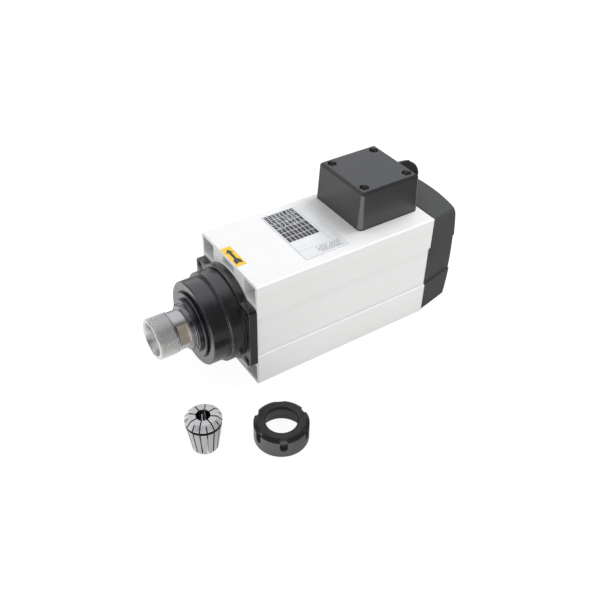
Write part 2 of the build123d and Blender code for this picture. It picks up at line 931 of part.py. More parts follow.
def fan_retaining_ring():
    """Open ring in the shaft's groove that keeps the fan on."""
    start = fan_rear + clip_play / 2
    end = start + clip_thickness
    clip = ring(fan_seat - clip_groove + seat_gap, fan_seat + clip_rise, start, end)
    half = clip_opening / 2
    return clip - block((-half, start, axis_height - 2 * fan_seat), (half, end, axis_height))


def box_places():
    """Four cover screw places of the junction box, as (x, y)."""
    return [(box_x + x, box_y + y) for x, y in four(box_screw_x, box_screw_y)]


def base_screw_places():
    """Four base screw places of the junction box, in the profile's solid bars."""
    return [(x, box_y + y) for x, y in four(bar_middle, base_screw_spread)]


def junction_box_gasket():
    """Flat gasket under the junction box's rim."""
    outer = RectangleRounded(box_width, box_length, box_corner)
    corner = max(box_corner - gasket_width, gasket_least_corner)
    inner = RectangleRounded(box_width - 2 * gasket_width, box_length - 2 * gasket_width, corner)
    return Pos(box_x, box_y, body_height) * extrude(outer - inner, gasket_thickness)


def junction_box_base():
    """Plate inside the box that takes its cover screws."""
    inset = gasket_width + cover_gap
    outline = RectangleRounded(box_width - 2 * inset, box_length - 2 * inset, box_base_corner)
    top = body_height + box_base_thickness
    base = Pos(box_x, box_y, body_height) * extrude(outline, box_base_thickness)
    for x, y in box_places() + base_screw_places():
        base -= post(small_screw[0] + screw_gap, body_height, top, x, y)
    return base - post(wire_hole_radius, body_height, top, 0, box_y)


def junction_box_base_screws():
    """Four screws that hold the box's plate to the housing."""
    seat = body_height + box_base_thickness
    one = screw(small_screw, box_base_thickness + base_screw_depth)
    return group([Pos(x, y, seat) * one for x, y in base_screw_places()])


def junction_box_cover():
    """Deep moulded box with drafted walls, bevelled top and four screw posts."""
    height = box_top - box_floor
    outline = RectangleRounded(box_width, box_length, box_corner)
    shell = extrude(outline, height, taper=box_draft)
    top = shell.faces().sort_by(Axis.Z)[-1]
    shell = chamfer(top.edges(), box_bevel)
    inner = RectangleRounded(box_width - 2 * box_wall, box_length - 2 * box_wall, box_corner - box_wall)
    cavity = extrude(inner, height - box_roof, taper=box_draft)
    post_start = box_base_thickness - gasket_thickness + box_post_gap
    for x, y in four(box_screw_x, box_screw_y):
        cavity -= post(box_post_radius, post_start, height, x, y)
    cover = Pos(box_x, box_y, box_floor) * (shell - cavity)
    cover += rod(gland_boss, gland_wall_front, gland_y, box_x, gland_z)
    cuts = [rod(gland_thread + screw_gap, gland_wall_front, gland_y, box_x, gland_z)]
    for x, y in box_places():
        cuts.append(post(small_screw[0] + screw_gap, box_floor, box_top, x, y))
        cuts.append(post(box_counterbore, box_top - box_counterbore_depth, box_top + overrun, x, y))
    return cover - cuts


def junction_box_screws():
    """Four long screws that hold the box's cover down."""
    seat = box_top - box_counterbore_depth
    one = screw(small_screw, seat - body_height)
    return group([Pos(x, y, seat) * one for x, y in box_places()])


def terminal_block():
    """Block of motor terminals on the box's plate."""
    width, depth, height = block_size
    y = box_y - block_offset
    floor = body_height + box_base_thickness
    low = (box_x - width / 2, y - depth / 2, floor)
    top = floor + height
    holes = [post(stud_radius + screw_gap, top - stud_height / 2, top, *place) for place in stud_places()]
    return block(low, (box_x + width / 2, y + depth / 2, top)) - holes


def stud_places():
    """Six terminal places in two rows, as (x, y)."""
    y = box_y - block_offset
    row = block_size[1] / 4
    return [(box_x + n * stud_pitch, y + side * row) for n in (-1, 0, 1) for side in (-1, 1)]


def terminal_studs():
    """Six brass terminal screws."""
    top = body_height + box_base_thickness + block_size[2]
    stud = post(stud_radius, -stud_height / 2, stud_height / 2)
    stud += post(stud_nut_radius, stud_nut_lift, stud_nut_lift + stud_nut_height)
    return group([Pos(x, y, top) * stud for x, y in stud_places()])


def hexagon(across_flats, start, end):
    """Hexagonal prism along the gland's axis."""
    outline = RegularPolygon(across_flats / 2 / math.cos(math.pi / 6), 6, rotation=30)
    return Pos(box_x, 0, 0) * slab(outline, start, end, gland_z)


def gland_ring(*points):
    """Turned piece on the gland's axis, from its half section as (radius, y) points."""
    return Pos(box_x, 0, gland_z - axis_height) * turned(*points)


def cable_gland_body():
    """Gland body with a hexagon outside the wall and a threaded stub each way."""
    inside = gland_y - gland_inner_stub
    body = hexagon(2 * gland_hex, gland_y, gland_y + gland_flange)
    body += rod(gland_thread, inside, gland_stub_end, box_x, gland_z)
    return body - rod(gland_bore, inside, gland_stub_end, box_x, gland_z)


def gland_locknut():
    """Thin nut that holds the gland inside the box."""
    end = gland_wall_front - screw_gap
    start = end - gland_locknut_height
    nut = hexagon(2 * gland_hex, start, end)
    return nut - rod(gland_thread + screw_gap, start, end, box_x, gland_z)


def gland_seal():
    """Rubber insert that grips the cable."""
    start = gland_y + gland_flange
    end = gland_end - gland_nut_gap - seal_inset
    return gland_ring(
        (cable_radius, start),
        (gland_bore - seat_gap, start),
        (gland_bore - seat_gap, end - seal_cone),
        (gland_dome_radius - seal_wall, end),
        (cable_radius, end),
    )


def gland_dome_nut():
    """Hexagonal dome nut that squeezes the seal."""
    corner = gland_hex / math.cos(math.pi / 6)
    bevel_width, bevel_length = gland_nut_bevel
    nut = hexagon(2 * gland_hex, gland_nut_start, gland_shoulder) & gland_ring(
        (0, gland_nut_start), (corner, gland_nut_start), (corner, gland_shoulder - bevel_length),
        (corner - bevel_width, gland_shoulder), (0, gland_shoulder),
    )
    dome = gland_hex - gland_dome_inset
    nut += gland_ring(
        (0, gland_shoulder - overrun),
        (dome, gland_shoulder - overrun),
        (dome, gland_shoulder + gland_dome_step),
        (gland_dome_radius, gland_end),
        (0, gland_end),
    )
    thread, bore = gland_thread + screw_gap, gland_bore + screw_gap
    mouth, mouth_start = gland_dome_radius - gland_dome_wall, gland_end - gland_dome_lip
    return nut - gland_ring(
        (0, gland_nut_start), (thread, gland_nut_start), (thread, gland_stub_end + gland_play),
        (bore, gland_stub_end + gland_play), (bore, mouth_start - gland_dome_cone),
        (mouth, mouth_start), (mouth, gland_end), (0, gland_end),
    )


def nameplate():
    """Bare plate riveted to the top of the housing."""
    width, depth, thickness = plate_size
    y = front_y + plate_from_front
    low = (plate_x - width / 2, y, body_height)
    plate = block(low, (plate_x + width / 2, y + depth, body_height + thickness))
    return fillet(plate.edges().filter_by(Axis.Z), plate_corner)


def rotation_label():
    """Thin label that carries the arrow for the direction of turning."""
    width, depth, thickness = label_size
    y = front_y + label_from_front
    low = (label_x - width / 2, y, body_height)
    return block(low, (label_x + width / 2, y + depth, body_height + thickness))


def nut_slot():
    """One spanner slot of the nut along X, round below and deeper at that end."""
    half = nut_slot_width / 2
    beyond = nut_radius + overrun
    floor = nut_radius - nut_slot_depth
    slot = block((floor, -half, nut_slot_low), (beyond, half, nut_height + overrun))
    for start in (floor, nut_radius - nut_hole_depth):
        round_end = Rot(0, 90, 0) * Cylinder(half, beyond - start)
        slot += Pos((start + beyond) / 2, 0, nut_slot_low) * round_end
    return slot


def collet_nut():
    """Nut for the nose, standing on its threaded end, with slots for a hook spanner."""
    bevel_width, bevel_height = nut_bevel
    recess_top = nut_thread_depth + nut_recess_length
    cone = (nut_recess - nut_mouth) * collet_cone_length / (collet_radius - collet_face_radius)
    section = make_face(Polyline(
        (nut_thread, 0), (nut_radius - nut_edge, 0), (nut_radius, nut_edge),
        (nut_radius, nut_height - bevel_height), (nut_radius - bevel_width, nut_height),
        (nut_mouth + nut_mouth_chamfer, nut_height), (nut_mouth, nut_height - nut_mouth_chamfer),
        (nut_mouth, recess_top + cone), (nut_recess, recess_top), (nut_thread, nut_thread_depth), close=True,
    ))
    nut = revolve(Plane.XZ * section, Axis.Z)
    slots = [Rot(0, 0, nut_turn + n * 360 / nut_slots) * nut_slot() for n in range(nut_slots)]
    return Pos(nut_x, front_y + nut_from_front, 0) * (nut - slots)


def collet_outline():
    """Half section of the collet from its small end to its front face, as (radius, z)."""
    slope = math.tan(math.radians(socket_half_angle))
    land = collet_length - collet_cone_length
    groove = land - collet_land_length
    body = groove - collet_groove_length
    foot = collet_body_radius - body * slope
    return [
        (collet_bore, 0), (foot - collet_foot_chamfer, 0),
        (foot + collet_foot_chamfer * slope, collet_foot_chamfer), (collet_body_radius, body),
        (collet_groove_radius, body), (collet_groove_radius, groove), (collet_radius, groove),
        (collet_radius, land), (collet_face_radius, collet_length),
        (collet_bore + collet_bore_chamfer, collet_length), (collet_bore, collet_length - collet_bore_chamfer),
    ]


def collet():
    """Spring collet, slit from both ends in turn, standing on its small end."""
    body = revolve(Plane.XZ * make_face(Polyline(*collet_outline(), close=True)), Axis.Z)
    reach = collet_radius + overrun
    half = collet_slit / 2
    from_top = block((0, -half, collet_bridge), (reach, half, collet_length + overrun))
    slit_end = collet_length - collet_slit_end
    slanted = make_face(Polyline(
        (0, -overrun), (reach, -overrun), (reach, slit_end), (collet_face_radius + collet_slit_end, slit_end),
        (0, collet_length - collet_slant_depth), close=True,
    ))
    from_bottom = extrude(Plane.XZ * slanted, half, both=True)
    cuts = []
    for n in range(collet_slits):
        angle = collet_turn + n * 360 / collet_slits
        cuts.append(Rot(0, 0, angle) * from_top)
        cuts.append(Rot(0, 0, angle + 180 / collet_slits) * from_bottom)
    return Pos(collet_x, front_y + collet_from_front, 0) * (body - cuts)


pieces = {
    "housing_extrusion": housing_extrusion,
    "front_bearing_housing": front_bearing_housing,
    "front_housing_bolts": front_housing_bolts,
    "front_bearing_outer_rings": lambda: front_set(outer_ring),
    "front_bearing_outer_spacer": lambda: spacer(front_outer - spacer_wall, front_outer),
    "bearing_retainer": bearing_retainer,
    "bearing_retainer_screws": bearing_retainer_screws,
    "stator_core": stator_core,
    "stator_windings": stator_windings,
    "rear_bearing_plate": rear_bearing_plate,
    "rear_plate_bolts": rear_plate_bolts,
    "rear_bearing_outer_ring": lambda: outer_ring(rear_bore, rear_outer, rear_width, rear_bearing_front),
    "preload_washer": preload_washer,
    "fan_cover": fan_cover,
    "fan_cover_screws": fan_cover_screws,
    "junction_box_gasket": junction_box_gasket,
    "junction_box_base": junction_box_base,
    "junction_box_base_screws": junction_box_base_screws,
    "junction_box_cover": junction_box_cover,
    "junction_box_screws": junction_box_screws,
    "terminal_block": terminal_block,
    "terminal_studs": terminal_studs,
    "cable_gland_body": cable_gland_body,
    "gland_locknut": gland_locknut,
    "gland_seal": gland_seal,
    "gland_dome_nut": gland_dome_nut,
    "nameplate": nameplate,
    "rotation_label": rotation_label,
    "spindle_shaft": spindle_shaft,
    "labyrinth_ring": labyrinth_ring,
    "ring_nut": ring_nut,
    "front_bearing_inner_rings": lambda: front_set(inner_ring),
    "front_bearing_inner_spacer": lambda: spacer(front_bore + seat_gap, front_bore + spacer_wall),
    "bearing_lock_nut": bearing_lock_nut,
    "rotor_core": rotor_core,
    "rotor_end_rings": rotor_end_rings,
    "rear_bearing_inner_ring": lambda: inner_ring(rear_bore, rear_outer, rear_width, rear_bearing_front),
    "fan_impeller": fan_impeller,
    "fan_key": fan_key,
    "fan_retaining_ring": fan_retaining_ring,
    "front_ball_belts": lambda: front_set(ball_belt),
    "rear_ball_belt": lambda: ball_belt(rear_bore, rear_outer, rear_width, rear_bearing_front),
    "collet_nut": collet_nut,
    "collet": collet,
}

os.makedirs("parts", exist_ok=True)
for name, make in pieces.items():
    export_step(make(), f"parts/{name}.step")
    print("made", name)
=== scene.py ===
# %% [markdown]
# # An air-cooled motor spindle, dressed around its working model
#
# The spindle is a square electric motor that turns a tool in a collet. A white aluminium profile
# carries everything: a black bearing housing and a bright threaded nose in front, a junction box
# on top, and a moulded fan cover behind. Its collet and collet nut stand beside it.
#
# The imported model gives every piece its place. This script gives the pieces their looks, so it
# starts by loading that model.

# %% Load the working model
import math

import bmesh
import bpy
from mathutils import Matrix, Vector


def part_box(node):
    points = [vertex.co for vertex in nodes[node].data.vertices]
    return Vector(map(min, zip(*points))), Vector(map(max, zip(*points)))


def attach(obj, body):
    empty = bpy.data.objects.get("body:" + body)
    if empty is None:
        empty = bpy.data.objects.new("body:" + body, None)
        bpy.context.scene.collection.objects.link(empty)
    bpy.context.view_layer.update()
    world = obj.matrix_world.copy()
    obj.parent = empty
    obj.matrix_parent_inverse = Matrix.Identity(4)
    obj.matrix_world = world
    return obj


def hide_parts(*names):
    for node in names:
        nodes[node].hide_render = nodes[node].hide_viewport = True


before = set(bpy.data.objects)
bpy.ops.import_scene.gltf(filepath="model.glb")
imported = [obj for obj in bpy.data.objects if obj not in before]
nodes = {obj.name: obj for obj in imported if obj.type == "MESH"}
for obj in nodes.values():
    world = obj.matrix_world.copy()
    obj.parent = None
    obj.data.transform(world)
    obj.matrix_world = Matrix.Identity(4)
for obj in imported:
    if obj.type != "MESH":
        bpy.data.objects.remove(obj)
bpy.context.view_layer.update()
scene = bpy.context.scene
mm = 0.001

# %% [markdown]
# ## The camera
#
# The photograph looks down on the nose from the front right. The camera is placed by the direction
# that it looks from, a point that its middle ray passes, and the distance between them. It leans a
# little, so its right and up directions are turned about the ray by that lean.

# %% Place the camera
camera_azimuth = math.radians(55.64)
camera_elevation = math.radians(39.78)
camera_roll = math.radians(1.37)
camera_target = Vector((0.0, -21.5, 34.4)) * mm
camera_distance = 788.2 * mm
camera_focal_pixels = 773.7
photo_pixels = 600
sensor_width = 36.0
nearest, farthest = 0.05, 20.0


def look_axes(azimuth, elevation, roll):
    """Right, up and backward directions of a camera that looks at the object."""
    flat = math.cos(elevation)
    back = Vector((math.sin(azimuth) * flat, -math.cos(azimuth) * flat, math.sin(elevation)))
    right = Vector((0, 0, 1)).cross(back).normalized()
    leaned = right * math.cos(roll) + back.cross(right) * math.sin(roll)
    return leaned, back.cross(leaned), back


def place_camera():
    """Camera at the photograph's viewing angle."""
    right, up, back = look_axes(camera_azimuth, camera_elevation, camera_roll)
    camera = bpy.data.objects.new("camera", bpy.data.cameras.new("camera"))
    scene.collection.objects.link(camera)
    turn = Matrix((right, up, back)).transposed().to_4x4()
    camera.matrix_world = Matrix.Translation(camera_target + back * camera_distance) @ turn
    camera.data.sensor_width = sensor_width
    camera.data.lens = sensor_width * camera_focal_pixels / photo_pixels
    camera.data.clip_start, camera.data.clip_end = nearest, farthest
    scene.camera = camera
    return camera


camera = place_camera()
print("camera at", [round(v, 3) for v in camera.location], "lens", round(camera.data.lens, 2))

# %% [markdown]
# ## Small tools for node trees
#
# Light, materials and repeated shapes are all made of nodes here. One function adds a node with its
# settings and feeds its inputs, from another node's socket or with a plain value. The others name
# the few nodes that come back all the time.

# %% Helpers for nodes


def feed(tree, node, inputs):
    """Feeds the inputs of a node with sockets or plain values."""
    for place, value in dict(inputs).items():
        if isinstance(value, bpy.types.NodeSocket):
            tree.links.new(value, node.inputs[place])
        else:
            node.inputs[place].default_value = value
    return node


def add(tree, kind, inputs=(), **settings):
    """New node with its settings and its inputs."""
    node = tree.nodes.new(kind)
    for name, value in settings.items():
        setattr(node, name, value)
    return feed(tree, node, inputs)


def math_node(tree, operation, *values, clamp=False):
    """Math node on sockets or numbers; returns its output."""
    return add(tree, "ShaderNodeMath", enumerate(values), operation=operation, use_clamp=clamp).outputs[0]


def remap(tree, value, *limits, curve="LINEAR"):
    """Map Range node from two limits to two others; returns its output."""
    names = ("Value", "From Min", "From Max", "To Min", "To Max")
    node = add(tree, "ShaderNodeMapRange", zip(names, (value, *limits)), interpolation_type=curve)
    return node.outputs["Result"]


def dot_product(tree, first, second):
    """How far two directions agree, from -1 to 1."""
    node = add(tree, "ShaderNodeVectorMath", {0: first, 1: second}, operation="DOT_PRODUCT")
    return node.outputs["Value"]


def axes(tree, vector):
    """X, Y and Z of a vector."""
    return add(tree, "ShaderNodeSeparateXYZ", {0: vector}).outputs


def combine(tree, **parts):
    """Vector from its X, Y and Z."""
    return add(tree, "ShaderNodeCombineXYZ", parts).outputs[0]


def distance(tree, first, second):
    """Length of the diagonal over two sides."""
    squares = [math_node(tree, "MULTIPLY", side, side) for side in (first, second)]
    return math_node(tree, "SQRT", math_node(tree, "ADD", *squares))


def blend_colours(tree, amount, low, high):
    """Mixes two colours or colour sockets by an amount; returns the result."""
    low, high = ((*end, 1.0) if isinstance(end, tuple) else end for end in (low, high))
    return add(tree, "ShaderNodeMix", {0: amount, 6: low, 7: high}, data_type="RGBA").outputs[2]


def mix_shaders(tree, amount, first, second):
    """Mixes the shaders of two nodes by an amount."""
    return add(tree, "ShaderNodeMixShader", {0: amount, 1: first.outputs[0], 2: second.outputs[0]})


def place_on_piece(tree):
    """Position on the piece, in metres."""
    return add(tree, "ShaderNodeTexCoord").outputs["Object"]


def grey(level):
    """The same level of red, green and blue."""
    return (level, level, level)


print("node helpers ready")

# %% [markdown]
# ## Light, background and floor
#
# A catalogue photograph is lit from all sides, so the world itself is the main light. It is stronger
# and a little warmer from the sides than from above, because a large soft lamp above and behind the
# object adds its own light there, which gives the form and a faint shadow. Polished metal needs
# something to mirror, so rays from glossy surfaces meet a bright panel over the left shoulder,
# smaller ones above, to the right and in front, and a grey room between them. For the same reason the
# floor that they meet is white in front of the object and dim beside it. The camera itself sees plain
# white.

# %% Light the object
world_top = 0.71
world_side = 1.15
world_low, world_high = -0.1, 0.9
cool, warm, mirrored_tint = (0.955, 0.965, 1.0), (1.0, 0.992, 0.94), (0.93, 0.94, 1.0)
cool_from = 0.7
room_grey = 0.10
panels = {
    "shoulder": ((-0.66, 0.34, 0.67), 0.35, 0.90, 0.95),
    "ceiling": ((0.10, -0.10, 0.99), 0.80, 0.99, 0.45),
    "right": ((0.93, -0.30, 0.20), 0.86, 0.97, 0.62),
    "front": ((-0.30, -0.93, 0.22), 0.88, 0.98, 0.90),
}
lamp_power = 11.0
lamp_size = 0.8
lamp_place = Vector((0.0, 0.80, 1.20))
lamp_aim = Vector((0, 0, 0.06))


def light_the_world():
    """Soft light from everywhere, panels for glossy surfaces, and a white background."""
    world = bpy.data.worlds.new("studio")
    world.use_nodes = True
    scene.world = world
    tree = world.node_tree
    tree.nodes.clear()
    direction = add(tree, "ShaderNodeTexCoord").outputs["Generated"]
    height = axes(tree, direction)["Z"]
    glow = room_grey
    for aim, edge, core, level in panels.values():
        towards = dot_product(tree, direction, Vector(aim).normalized())
        panel = remap(tree, towards, edge, core, 0.0, level, curve="SMOOTHSTEP")
        glow = math_node(tree, "MAXIMUM", panel, glow)
    tint = blend_colours(tree, remap(tree, height, 0.0, cool_from, 0.0, 1.0), warm, cool)
    strength = remap(tree, height, world_low, world_high, world_side, world_top)
    soft = add(tree, "ShaderNodeBackground", {"Color": tint, "Strength": strength})
    mirrored = add(tree, "ShaderNodeBackground", {"Color": (*mirrored_tint, 1.0), "Strength": glow})
    white = add(tree, "ShaderNodeBackground", {"Color": (*grey(1.0), 1.0)})
    rays = add(tree, "ShaderNodeLightPath").outputs
    seen = math_node(tree, "MAXIMUM", rays["Is Camera Ray"], rays["Is Transmission Ray"])
    lit = mix_shaders(tree, rays["Is Glossy Ray"], soft, mirrored)
    add(tree, "ShaderNodeOutputWorld", {"Surface": mix_shaders(tree, seen, lit, white).outputs[0]})


def place_lamp(name):
    """Square soft lamp aimed at the object, which glossy surfaces don't mirror."""
    data = bpy.data.lights.new(name, "AREA")
    data.size = lamp_size
    data.energy = lamp_power
    lamp = bpy.data.objects.new(name, data)
    lamp.location = lamp_place
    lamp.rotation_mode = "QUATERNION"
    lamp.rotation_quaternion = (lamp_aim - lamp_place).to_track_quat("-Z", "Y")
    lamp.visible_glossy = False
    scene.collection.objects.link(lamp)


light_the_world()
place_lamp("key_lamp")
print("world side and top:", world_side, world_top, "lamp in watts:", lamp_power)

# %% Lay the floor
floor_size = 6.0
floor_white = 0.93
floor_glow = 0.93
shadow_depth = 0.14
mirror_front, mirror_rear = -0.19, -0.10
mirror_white, mirror_dim = 1.2, 0.30


def lay_floor():
    """Pale floor that meets the white background and keeps a soft shadow."""
    mesh = bpy.data.meshes.new("floor")
    half = floor_size / 2
    corners = [(-half, -half, 0), (half, -half, 0), (half, half, 0), (-half, half, 0)]
    mesh.from_pydata(corners, [], [(0, 1, 2, 3)])
    floor = bpy.data.objects.new("floor", mesh)
    scene.collection.objects.link(floor)
    paint = bpy.data.materials.new("pale_floor")
    paint.use_nodes = True
    tree = paint.node_tree
    tree.nodes.clear()
    matt = add(tree, "ShaderNodeBsdfDiffuse", {"Color": (*grey(floor_white), 1.0)})
    pale = add(tree, "ShaderNodeBsdfDiffuse", {"Color": (*grey(shadow_depth), 1.0)})
    glow = add(tree, "ShaderNodeEmission", {"Strength": floor_glow})
    both = add(tree, "ShaderNodeAddShader", {0: pale.outputs[0], 1: glow.outputs[0]})
    along = axes(tree, place_on_piece(tree))["Y"]
    level = remap(tree, along, mirror_front, mirror_rear, mirror_white, mirror_dim)
    mirrored = add(tree, "ShaderNodeEmission", {"Strength": level})
    rays = add(tree, "ShaderNodeLightPath").outputs
    shown = mix_shaders(tree, rays["Is Glossy Ray"], matt, mirrored)
    shown = mix_shaders(tree, rays["Is Camera Ray"], shown, both)
    add(tree, "ShaderNodeOutputMaterial", {"Surface": shown.outputs[0]})
    mesh.materials.append(paint)
    return floor


floor = lay_floor()
print("floor lies at", floor.location.z)

# %% [markdown]
# ## Shared surface effects
#
# Five effects come back on several pieces, so each one is a shader node group that is built once and
# placed in every material with its own numbers: the fine grain of moulded and blasted surfaces, the
# rings that a lathe leaves, the lengthwise lines that an extrusion die leaves, brighter edges that are
# partly rubbed coating and partly painted highlight, and painted shade in narrow slits and holes. A
# group only puts out values and normals. The shader itself stays in the material.

# %% Helpers for node groups


def start_group(name, inputs, outputs, kind="ShaderNodeTree"):
    """New node group with named sockets, each of a kind or a number; returns it and both ends."""
    tree = bpy.data.node_groups.new(name, kind)
    for side, sockets in (("INPUT", inputs), ("OUTPUT", outputs)):
        for label, value in sockets.items():
            is_number = isinstance(value, float)
            socket_type = "NodeSocketFloat" if is_number else "NodeSocket" + value
            socket = tree.interface.new_socket(label, in_out=side, socket_type=socket_type)
            if is_number:
                socket.default_value = value
    return tree, tree.nodes.new("NodeGroupInput").outputs, tree.nodes.new("NodeGroupOutput")


def noise(tree, vector, scale, detail=4.0, roughness=0.55):
    """Noise texture on a vector; returns its factor."""
    numbers = {"Vector": vector, "Scale": scale, "Detail": detail, "Roughness": roughness}
    return add(tree, "ShaderNodeTexNoise", numbers).outputs["Fac"]


print("group helpers ready")

# %% Grain, lathe rings, die lines and rubbed edges
speck_scale = 14.0
ring_streak, die_streak = 0.22, 0.12
die_stretch = 0.004
edge_samples, gap_samples = 6, 8
mottle_limits, speck_limits = (0.3, 0.7), (0.66, 0.76)
streak_limits, patch_limits = (0.3, 0.7), (0.35, 0.65)
edge_limits, gap_limits = (0.97, 0.80), (0.22, 0.62)
least_edge_share = 0.2


def build_grain():
    """Fine grain with a slow mottle: Height for bump, Mottle for colour, Speck for dust."""
    puts_out = {"Height": "Float", "Mottle": "Float", "Speck": "Float"}
    tree, given, out = start_group("grain", {"Fine Scale": 2500.0, "Slow Scale": 40.0}, puts_out)
    place = place_on_piece(tree)
    slow = noise(tree, place, given["Slow Scale"], 5.0, 0.6)
    speck = noise(tree, place, math_node(tree, "MULTIPLY", given["Slow Scale"], speck_scale), 2.0)
    feed(tree, out, {
        "Height": noise(tree, place, given["Fine Scale"], 3.0, 0.6),
        "Mottle": remap(tree, slow, *mottle_limits, 0.0, 1.0),
        "Speck": remap(tree, speck, *speck_limits, 0.0, 1.0),
    })
    return tree


def build_rings(name, middle, upright):
    """Rings that a lathe tool leaves around an axis: along Y at a height, or upright."""
    tree, given, out = start_group(name, {"Lines": 2600.0}, {"Height": "Float", "Streak": "Float"})
    shifted = add(
        tree, "ShaderNodeVectorMath", {0: place_on_piece(tree), 1: middle}, operation="SUBTRACT"
    )
    place = axes(tree, shifted.outputs[0])
    other, along = ("Y", "Z") if upright else ("Z", "Y")
    section = combine(tree, X=distance(tree, place["X"], place[other]), Y=place[along])
    coarse = noise(tree, section, math_node(tree, "MULTIPLY", given["Lines"], ring_streak), 3.0)
    feed(tree, out, {
        "Height": noise(tree, section, given["Lines"], 2.0, 0.7),
        "Streak": remap(tree, coarse, *streak_limits, 0.0, 1.0),
    })
    return tree


def build_die_lines():
    """Faint lines along Y that an extrusion die leaves, under a coating."""
    tree, given, out = start_group("die_lines", {"Lines": 900.0}, {"Height": "Float", "Streak": "Float"})
    stretch = {"Scale": (1.0, die_stretch, 1.0), "Vector": place_on_piece(tree)}
    place = add(tree, "ShaderNodeMapping", stretch).outputs[0]
    slow = noise(tree, place, math_node(tree, "MULTIPLY", given["Lines"], die_streak), 2.0)
    feed(tree, out, {
        "Height": noise(tree, place, given["Lines"], 4.0, 0.7),
        "Streak": remap(tree, slow, *patch_limits, 0.0, 1.0),
    })
    return tree


def build_edge_wear_and_highlight():
    """Mask of edges painted bright as worn coating and highlight, and the normal that rounds them off."""
    puts_out = {"Mask": "Float", "Rounded": "Vector"}
    tree, given, out = start_group("edge_wear_and_highlight", {"Radius": 0.0006, "Spread": 300.0}, puts_out)
    rounded = add(tree, "ShaderNodeBevel", {"Radius": given["Radius"]}, samples=edge_samples).outputs[0]
    plain = add(tree, "ShaderNodeNewGeometry").outputs["Normal"]
    edge = remap(tree, dot_product(tree, rounded, plain), *edge_limits, 0.0, 1.0)
    patches = noise(tree, place_on_piece(tree), given["Spread"])
    edge_patches = remap(tree, patches, *patch_limits, least_edge_share, 1.0)
    bright_edges = math_node(tree, "MULTIPLY", edge, edge_patches, clamp=True)
    feed(tree, out, {"Mask": bright_edges, "Rounded": rounded})
    return tree


def build_gap_shade():
    """Mask of slits and holes, painted dark as the shade that falls in them."""
    tree, given, out = start_group("gap_shade", {"Reach": 0.004}, {"Mask": "Float"})
    reach = {"Distance": given["Reach"]}
    openness = add(tree, "ShaderNodeAmbientOcclusion", reach, samples=gap_samples).outputs["AO"]
    feed(tree, out, {"Mask": remap(tree, openness, *gap_limits, 1.0, 0.0)})
    return tree


housing_low, housing_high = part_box("housing_extrusion")
axis_height = (housing_low.z + housing_high.z) / 2
nut_low, nut_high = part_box("collet_nut")
nut_middle = (nut_low + nut_high) / 2
collet_low, collet_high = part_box("collet")
collet_middle = (collet_low + collet_high) / 2
grain_group = build_grain()
spindle_rings = build_rings("spindle_rings", (0.0, 0.0, axis_height), upright=False)
nut_rings = build_rings("nut_rings", (nut_middle.x, nut_middle.y, 0.0), upright=True)
collet_rings = build_rings("collet_rings", (collet_middle.x, collet_middle.y, 0.0), upright=True)
die_lines = build_die_lines()
edge_wear_and_highlight = build_edge_wear_and_highlight()
gap_shade = build_gap_shade()
print("shader groups:", [g.name for g in bpy.data.node_groups])

# %% [markdown]
# ## Finishes
#
# One function mixes the effects into a Principled shader, and each finish is one call of it with
# plain numbers: two tones for the colour, the roughness and how far it varies, the bump of its
# grain, and how bright its edges are painted, as rubbed coating and as highlight. Numbers that are the same
# all over a surface are set
# on the shader itself. Finishes that are made by the same tool share the numbers of its marks.

# %% A function that makes a finish
finishes = {}
dust_tone = (0.55, 0.55, 0.54)
gap_shade_tone = grey(0.012)
pattern_grain, height_grain = 0.4, 0.3


def place_group(tree, group, **numbers):
    """Puts a shader group in a tree with its numbers; returns its outputs."""
    inputs = {label.replace("_", " "): number for label, number in numbers.items()}
    return add(tree, "ShaderNodeGroup", inputs, node_tree=group).outputs


def weighed(tree, first, share, second):
    """A share of one value and the rest of another."""
    parts = [math_node(tree, "MULTIPLY", *part) for part in ((first, share), (second, 1.0 - share))]
    return math_node(tree, "ADD", *parts)


